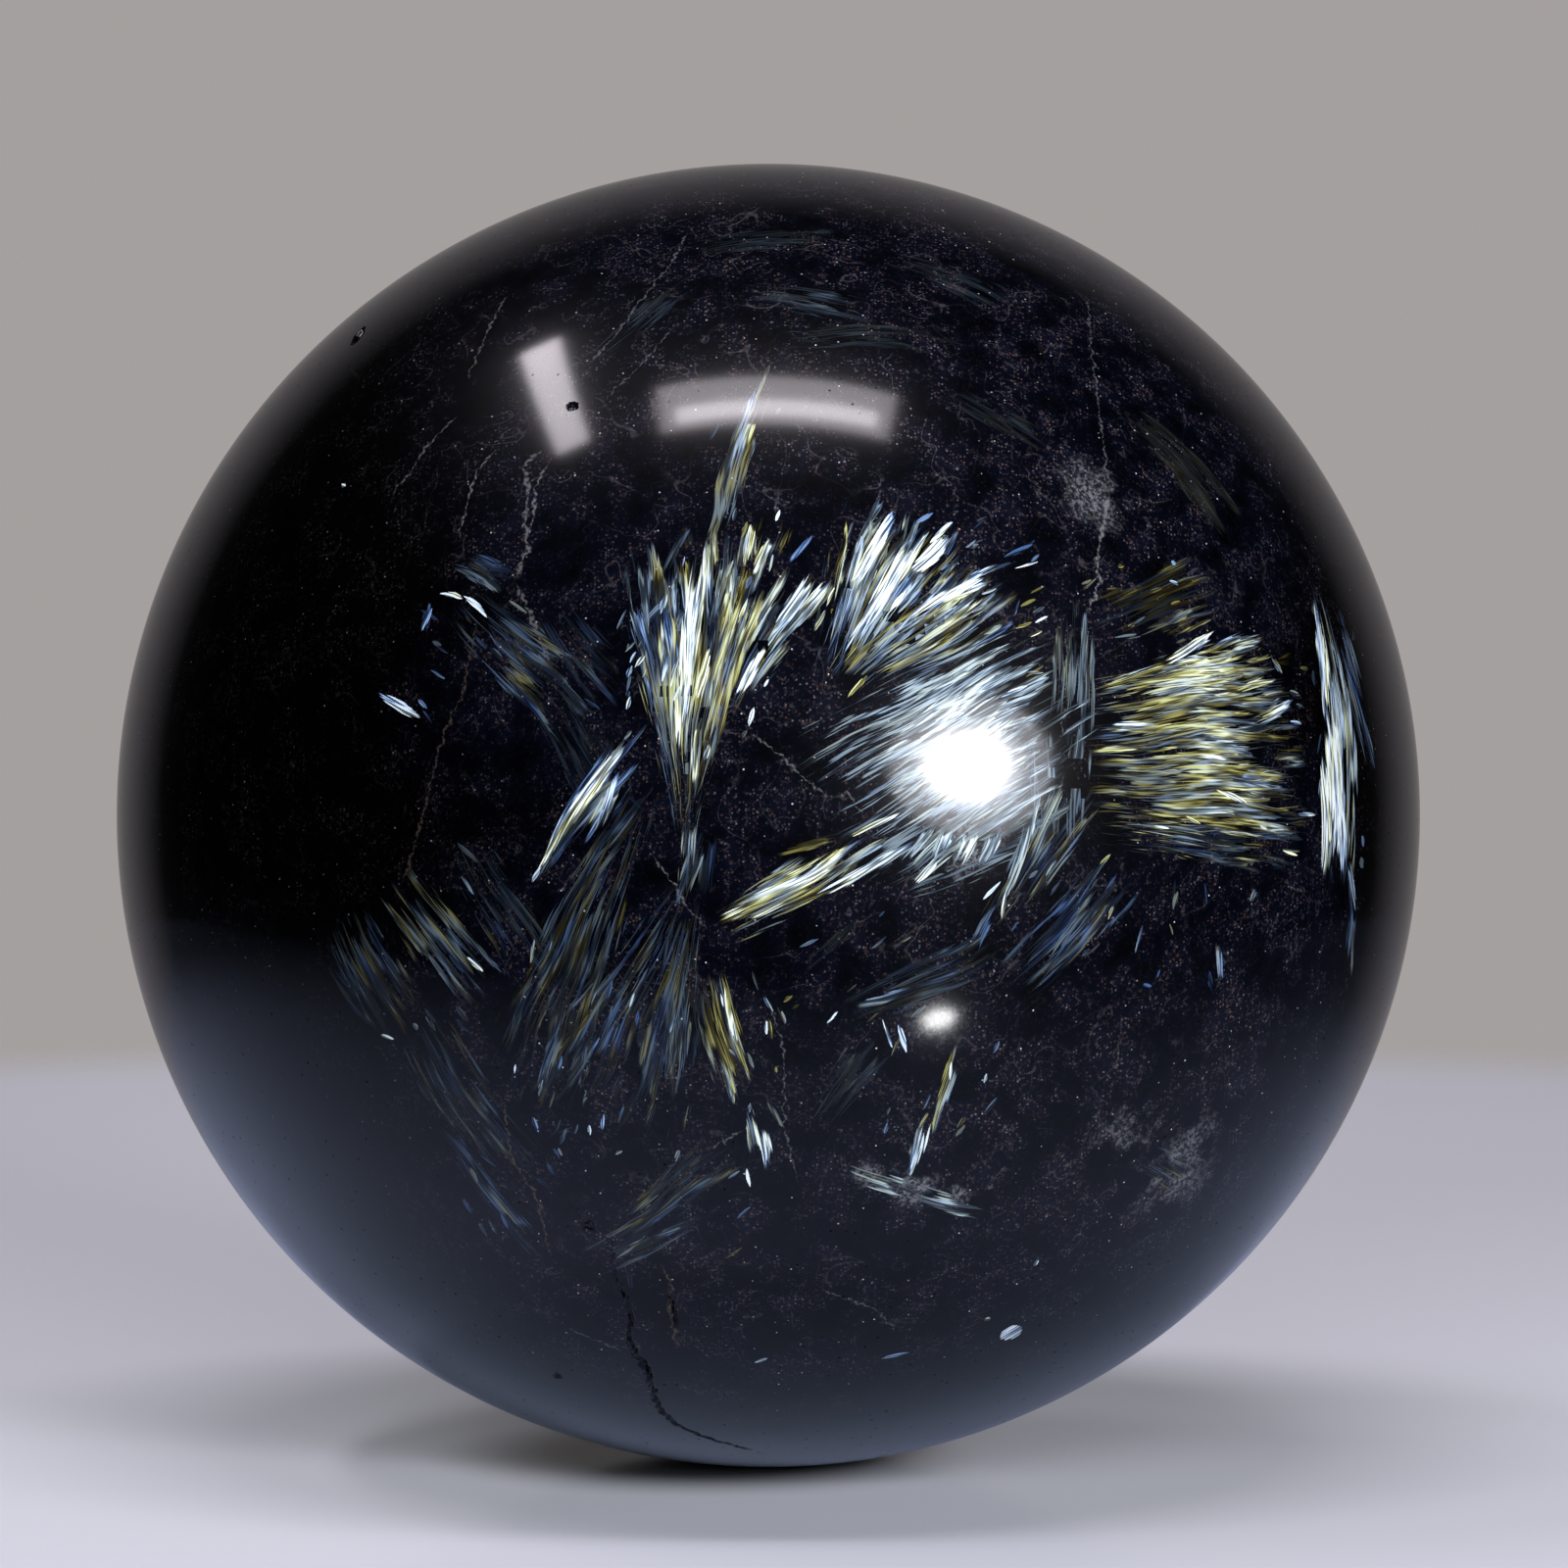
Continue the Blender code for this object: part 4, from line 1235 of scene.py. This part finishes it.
def fibre_group():
    """Colour and strength of one bundle of fibres."""
    tree, given, result = group_of(
        "fibre bundle",
        {"Place": "Vector", "Grain": "Vector", "Look": "Vector"},
        {"Color": "Color", "Light": "Float"},
    )
    place = put(tree, "SeparateXYZ", {0: given.outputs["Place"]}).outputs
    grain = put(tree, "SeparateXYZ", {0: given.outputs["Grain"]}).outputs
    look = put(tree, "SeparateXYZ", {0: given.outputs["Look"]}).outputs
    across, along, light = place[0], place[1], place[2]
    fibres, runs, tone = grain[0], grain[1], grain[2]
    fill, point, variety = look[0], look[1], look[2]

    # Fibres wander a little sideways as they run.
    sway = noise_at(tree, maths(tree, "MULTIPLY", fibres, 0.03), maths(tree, "MULTIPLY", runs, 0.5))
    shifted = maths(tree, "MULTIPLY_ADD", sway.outputs["Fac"], 5.0, fibres)
    blade, hair = (
        noise_at(
            tree,
            maths(tree, "MULTIPLY", shifted, across_scale),
            maths(tree, "MULTIPLY", runs, along_scale),
            detail=1.0,
            roughness=0.6,
        )
        for across_scale, along_scale in (BLADE_SCALE, HAIR_SCALE)
    )
    chances = put(tree, "SeparateColor", {0: blade.outputs["Color"]}).outputs
    fine = hair.outputs["Fac"]

    # A pointed bundle is a lens, and a blunt one is open to its full width at both ends.
    middle = maths(tree, "MULTIPLY_ADD", along, 2.0, -1.0)
    taper = maths(tree, "MULTIPLY", point, 1.4)
    lens_edge = maths(tree, "MULTIPLY", maths(tree, "MULTIPLY", middle, middle), taper)
    limit = maths(tree, "SUBTRACT", 1.0, lens_edge)
    jag = maths(tree, "MULTIPLY_ADD", chances[0], 0.7, maths(tree, "MULTIPLY", fine, 0.6))
    room = maths(tree, "SUBTRACT", maths(tree, "ADD", limit, jag), maths(tree, "ABSOLUTE", across))
    side = step(tree, room, 0.68, 0.84)

    # Fibres stop at differing lengths, more so where the bundle is blunt.
    ragged = maths(tree, "MULTIPLY_ADD", point, -0.36, 0.46)
    uneven = maths(tree, "MULTIPLY", maths(tree, "MULTIPLY_ADD", chances[1], 1.5, fine), 0.4)
    tip_loss = maths(tree, "MULTIPLY", step(tree, uneven, 0.36, 0.64), ragged)
    ahead = maths(tree, "SUBTRACT", 1.0, along)
    tip = step(tree, maths(tree, "SUBTRACT", ahead, tip_loss), 0.0, 0.08)
    root_loss = maths(tree, "MULTIPLY", step(tree, uneven, 0.64, 0.36), ragged)
    root = step(tree, maths(tree, "SUBTRACT", along, root_loss), 0.0, 0.12)
    body = maths(tree, "MULTIPLY", side, maths(tree, "MULTIPLY", tip, root))

    # Bright blades stand among dim ones, and each is streaked by its hairs. A blunt bundle is
    # dimmer at its root.
    threshold = maths(tree, "MULTIPLY_ADD", fill, -0.50, 0.72)
    dimmest = maths(tree, "MULTIPLY_ADD", variety, -0.24, 0.60)
    blades = step(tree, chances[0], threshold, maths(tree, "ADD", threshold, 0.2), dimmest, 1.0)
    hairs = step(tree, fine, 0.36, 0.62, 0.34, 1.14)
    at_root = maths(tree, "MULTIPLY_ADD", point, 0.45, 0.55)
    glow = maths(tree, "MULTIPLY", light, step(tree, along, -0.1, 0.7, at_root, 1.0))
    strength = maths(tree, "MULTIPLY", maths(tree, "MULTIPLY", blades, hairs), glow)
    strength = maths(tree, "MULTIPLY", strength, body, clamp=True)

    # Each blade has a tone of its own, round the bundle's.
    differing = maths(tree, "MULTIPLY_ADD", chances[2], 3.8, -1.84)
    differing = maths(tree, "MULTIPLY", differing, variety)
    local_tone = maths(tree, "ADD", tone, differing)
    blue = shades(
        tree,
        strength,
        [(0, (0, 0, 0)), (0.2, (0.008, 0.014, 0.035)), (0.5, (0.046, 0.100, 0.235)),
         (0.8, (0.27, 0.41, 0.66)), (1, (0.60, 0.73, 0.88))],
    )
    pale = shades(
        tree,
        strength,
        [(0, (0, 0, 0)), (0.2, (0.015, 0.022, 0.031)), (0.5, (0.120, 0.160, 0.185)),
         (0.8, (0.40, 0.50, 0.54)), (1, (0.76, 0.84, 0.86))],
    )
    gold = shades(
        tree,
        strength,
        [(0, (0, 0, 0)), (0.2, (0.026, 0.022, 0.007)), (0.5, (0.175, 0.165, 0.045)),
         (0.8, (0.47, 0.51, 0.23)), (1, (0.80, 0.85, 0.60))],
    )
    cold = blend(tree, maths(tree, "MULTIPLY", local_tone, -1.0, clamp=True), pale, blue)
    colour = blend(tree, maths(tree, "MULTIPLY", local_tone, 1.0, clamp=True), cold, gold)
    tree.links.new(colour, result.inputs["Color"])
    tree.links.new(strength, result.inputs["Light"])
    return tree


fibres = fibre_group()
print(f"fibre group of {len(fibres.nodes)} nodes")

# %% [markdown]
# ## The crack group
# A healed crack is a hairline that wanders, thins out and breaks. The group moves the stored
# distance a little with noise, compares it with a width that noise also varies, and fades the
# line at its ends.

# %% Crack group
def crack_group():
    """Colour and mask of one hairline crack."""
    tree, given, result = group_of(
        "hairline crack",
        {"Line": "Vector", "Look": "Vector"},
        {"Color": "Color", "Mask": "Float"},
    )
    line = put(tree, "SeparateXYZ", {0: given.outputs["Line"]}).outputs
    look = put(tree, "SeparateXYZ", {0: given.outputs["Look"]}).outputs
    wander = noise_at(tree, maths(tree, "MULTIPLY", line[1], 2.4), look[0], detail=2.0)
    broken = noise_at(tree, maths(tree, "MULTIPLY", line[1], 1.1), look[1], detail=1.5)
    moved = maths(tree, "MULTIPLY_ADD", wander.outputs["Fac"], 0.44, line[0])
    distance = maths(tree, "ABSOLUTE", maths(tree, "SUBTRACT", moved, 0.22))
    width = maths(tree, "MULTIPLY", look[0], step(tree, broken.outputs["Fac"], 0.3, 0.7, 0.3, 1.5))
    share = maths(tree, "DIVIDE", distance, width)
    mask = step(tree, share, 1.0, 0.2)
    ends = maths(tree, "MINIMUM", line[1], line[2])
    mask = maths(tree, "MULTIPLY", mask, step(tree, ends, 0.0, 0.8))
    mask = maths(tree, "MULTIPLY", mask, look[2])
    crumb = noise_at(
        tree, maths(tree, "MULTIPLY", line[1], 6.0), maths(tree, "MULTIPLY", line[0], 7.0)
    )
    mask = maths(tree, "MULTIPLY", mask, step(tree, crumb.outputs["Fac"], 0.36, 0.60, 0.15, 1.0))
    stain = shades(
        tree,
        maths(tree, "MULTIPLY_ADD", look[1], 0.5, 0.5),
        [(0, (0.001, 0.001, 0.001)), (0.5, (0.058, 0.044, 0.036)), (1, (0.150, 0.150, 0.165))],
    )
    tree.links.new(stain, result.inputs["Color"])
    tree.links.new(mask, result.inputs["Mask"])
    return tree


cracks = crack_group()
print(f"crack group of {len(cracks.nodes)} nodes")

# %% [markdown]
# ## The stone group
# Under the flashes the body is almost black. Its grains show as faint brown and purple-grey
# specks, a web of hairlines joins them, and here and there a painted glint stands for a tiny face
# that catches the light. The grains are cells of a Voronoi texture, the web is where a noise
# crosses its middle value, the pale crumbs and the two painted highlights among them are where a
# fine noise is high, and the painted glints are pale middles of a few sparse cells. The middles of
# others are tiny pits that the polish missed. All of it is solid texture, in millimetres, so it
# has no seams on any side.

# %% Stone group
def stone_group():
    """Colour of the black body, with its specks, web and painted glints, and how polished it is."""
    tree, given, result = group_of(
        "black stone",
        {"Place": "Vector", "Speckle": "Float", "Web": "Float", "Crumbs and highlights": "Float"},
        {"Color": "Color", "Polish": "Float"},
    )
    place, speckle, web, pale_crumbs_and_highlights = (
        given.outputs[name] for name in ("Place", "Speckle", "Web", "Crumbs and highlights")
    )
    cloud = put(
        tree, "TexNoise", {"Vector": place, "Scale": 0.5, "Detail": 2.0, "Roughness": 0.65}
    )
    grit = put(
        tree, "TexNoise", {"Vector": place, "Scale": 4.6, "Detail": 2.0, "Roughness": 0.8}
    )
    cells = put(tree, "TexVoronoi", {"Vector": place, "Scale": 6.5})
    cell = put(tree, "SeparateColor", {0: cells.outputs["Color"]}).outputs

    dark = shades(
        tree,
        cloud.outputs["Fac"],
        [(0.30, (0.0003, 0.0004, 0.0010)), (0.52, (0.0010, 0.0014, 0.0042)),
         (0.72, (0.0030, 0.0034, 0.0090))],
    )
    dark = blend(tree, step(tree, speckle, 0.1, 0.6), (0.0002, 0.0002, 0.0003), dark)
    grain_colour = shades(
        tree,
        cell[1],
        [(0, (0.130, 0.068, 0.046)), (0.5, (0.062, 0.053, 0.062)), (1, (0.185, 0.180, 0.200))],
    )
    specks = maths(
        tree,
        "MULTIPLY",
        step(tree, cells.outputs["Distance"], 0.42, 0.12),
        step(tree, cell[0], 0.50, 0.92),
    )
    smear = step(tree, grit.outputs["Fac"], 0.52, 0.80)
    amount = maths(tree, "ADD", specks, maths(tree, "MULTIPLY", smear, 0.55))
    patchy = step(tree, cloud.outputs["Fac"], 0.40, 0.62, 0.05, 1.0)
    amount = maths(tree, "MULTIPLY", amount, maths(tree, "MULTIPLY", patchy, speckle), clamp=True)
    colour = blend(tree, amount, dark, grain_colour)

    net = put(
        tree,
        "TexNoise",
        {"Vector": place, "Scale": 0.30, "Detail": 2.0, "Roughness": 0.5, "Distortion": 0.6},
    )
    crossing = maths(tree, "ABSOLUTE", maths(tree, "SUBTRACT", net.outputs["Fac"], 0.5))
    lines = maths(tree, "MULTIPLY", step(tree, crossing, 0.008, 0.0), web)
    lines = maths(tree, "MULTIPLY", lines, step(tree, grit.outputs["Fac"], 0.30, 0.60, 0.2, 1.0))
    lines = maths(tree, "MULTIPLY", lines, step(tree, cloud.outputs["Fac"], 0.42, 0.58, 0.1, 1.0))
    colour = blend(tree, maths(tree, "MULTIPLY", lines, 0.7), colour, (0.070, 0.064, 0.074))

    # Pale crumbs, and two painted highlights among them, lighten the stone where a noise is high.
    veil = maths(tree, "MULTIPLY_ADD", pale_crumbs_and_highlights, 0.22, cloud.outputs["Fac"])
    veil = maths(tree, "MULTIPLY", step(tree, veil, 0.53, 0.74), pale_crumbs_and_highlights)
    crumbs_and_painted_highlights = maths(tree, "MULTIPLY", veil, step(tree, grit.outputs["Fac"], 0.44, 0.62, 0.1, 1.0))
    colour = blend(tree, crumbs_and_painted_highlights, colour, (0.165, 0.17, 0.19))

    spots = put(tree, "TexVoronoi", {"Vector": place, "Scale": 1.9})
    spot = put(tree, "SeparateColor", {0: spots.outputs["Color"]}).outputs
    # Painted glints: pale specks that stand for tiny faces catching the light.
    painted_glint = maths(
        tree,
        "MULTIPLY",
        step(tree, spots.outputs["Distance"], 0.095, 0.045),
        step(tree, spot[0], 0.45, 1.0),
    )
    painted_glint = maths(tree, "MULTIPLY", painted_glint, step(tree, speckle, 0.1, 0.6, 0.25, 1.0))
    painted_glint_colour = shades(
        tree, spot[1], [(0.3, (0.40, 0.46, 0.60)), (0.6, (0.60, 0.60, 0.60)), (1, (0.5, 0.3, 0.2))]
    )
    colour = blend(tree, painted_glint, colour, painted_glint_colour)
    missed = maths(
        tree,
        "MULTIPLY",
        step(tree, spots.outputs["Distance"], 0.16, 0.08),
        step(tree, spot[2], 0.55, 0.75),
    )
    tree.links.new(colour, result.inputs["Color"])
    tree.links.new(step(tree, missed, 0.0, 1.0, 1.0, 0.15), result.inputs["Polish"])
    return tree


stone = stone_group()
print(f"stone group of {len(stone.nodes)} nodes")

# %% [markdown]
# ## The polished stone
# The three groups meet in one material. The brightest of the body, the cracks and the bundles
# wins at each point. Over it lies the polish, which is the shader's clear coat: it mirrors the
# lamps sharply, while the stone below it scatters light from its fibres. The tiny pits have
# hardly any coat, and they show as dark dots in the bright reflections.

# %% Material of the ball
def add_group(tree, group, inputs):
    """Places a group in a material and joins its inputs."""
    node = tree.nodes.new("ShaderNodeGroup")
    node.node_tree = group
    for name, socket in inputs.items():
        tree.links.new(socket, node.inputs[name])
    return node


def stored(tree, name):
    """The vector that the mesh stores under this name."""
    return put(tree, "Attribute", attribute_name=name).outputs["Vector"]


def stone_material():
    """Black stone, cracks and fibres under a clear polish."""
    finish, tree, shader = new_material("polished_arfvedsonite")
    object_place = put(tree, "TexCoord").outputs["Object"]
    in_mm = put(tree, "VectorMath", {0: object_place, "Scale": 1 / MM}, operation="SCALE")
    zones = put(tree, "SeparateXYZ", {0: stored(tree, "stone_zones")}).outputs
    amounts = dict(zip(("Speckle", "Web", "Crumbs and highlights"), zones))
    body = add_group(tree, stone, {"Place": in_mm.outputs[0], **amounts})
    colour = body.outputs["Color"]
    for i in range(CRACK_LAYERS):
        names = {key: f"crack_{key.lower()}_{i}" for key in ("Line", "Look")}
        crack = add_group(
            tree, cracks, {key: stored(tree, name) for key, name in names.items()}
        )
        colour = blend(tree, crack.outputs["Mask"], colour, crack.outputs["Color"])
    lit = None
    for i in range(LAYERS):
        names = {key: f"fibre_{key.lower()}_{i}" for key in ("Place", "Grain", "Look")}
        bundle = add_group(
            tree, fibres, {key: stored(tree, name) for key, name in names.items()}
        )
        colour = blend(tree, 1.0, colour, bundle.outputs["Color"], how="LIGHTEN")
        strength = bundle.outputs["Light"]
        lit = strength if lit is None else maths(tree, "MAXIMUM", lit, strength)
    tree.links.new(colour, shader.inputs["Base Color"])
    tree.links.new(step(tree, lit, 0.0, 0.8, 0.34, 0.55), shader.inputs["Roughness"])
    tree.links.new(body.outputs["Polish"], shader.inputs["Coat Weight"])
    shader.inputs["Coat Roughness"].default_value = 0.10
    shader.inputs["Coat IOR"].default_value = 1.4
    shader.inputs["IOR"].default_value = 1.5
    shader.inputs["Specular IOR Level"].default_value = 0.04
    return finish


ball.data.materials.append(stone_material())
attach(ball, "root")
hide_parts(BALL_NODE)
print(f"material with {len(ball.data.materials[0].node_tree.nodes)} nodes")
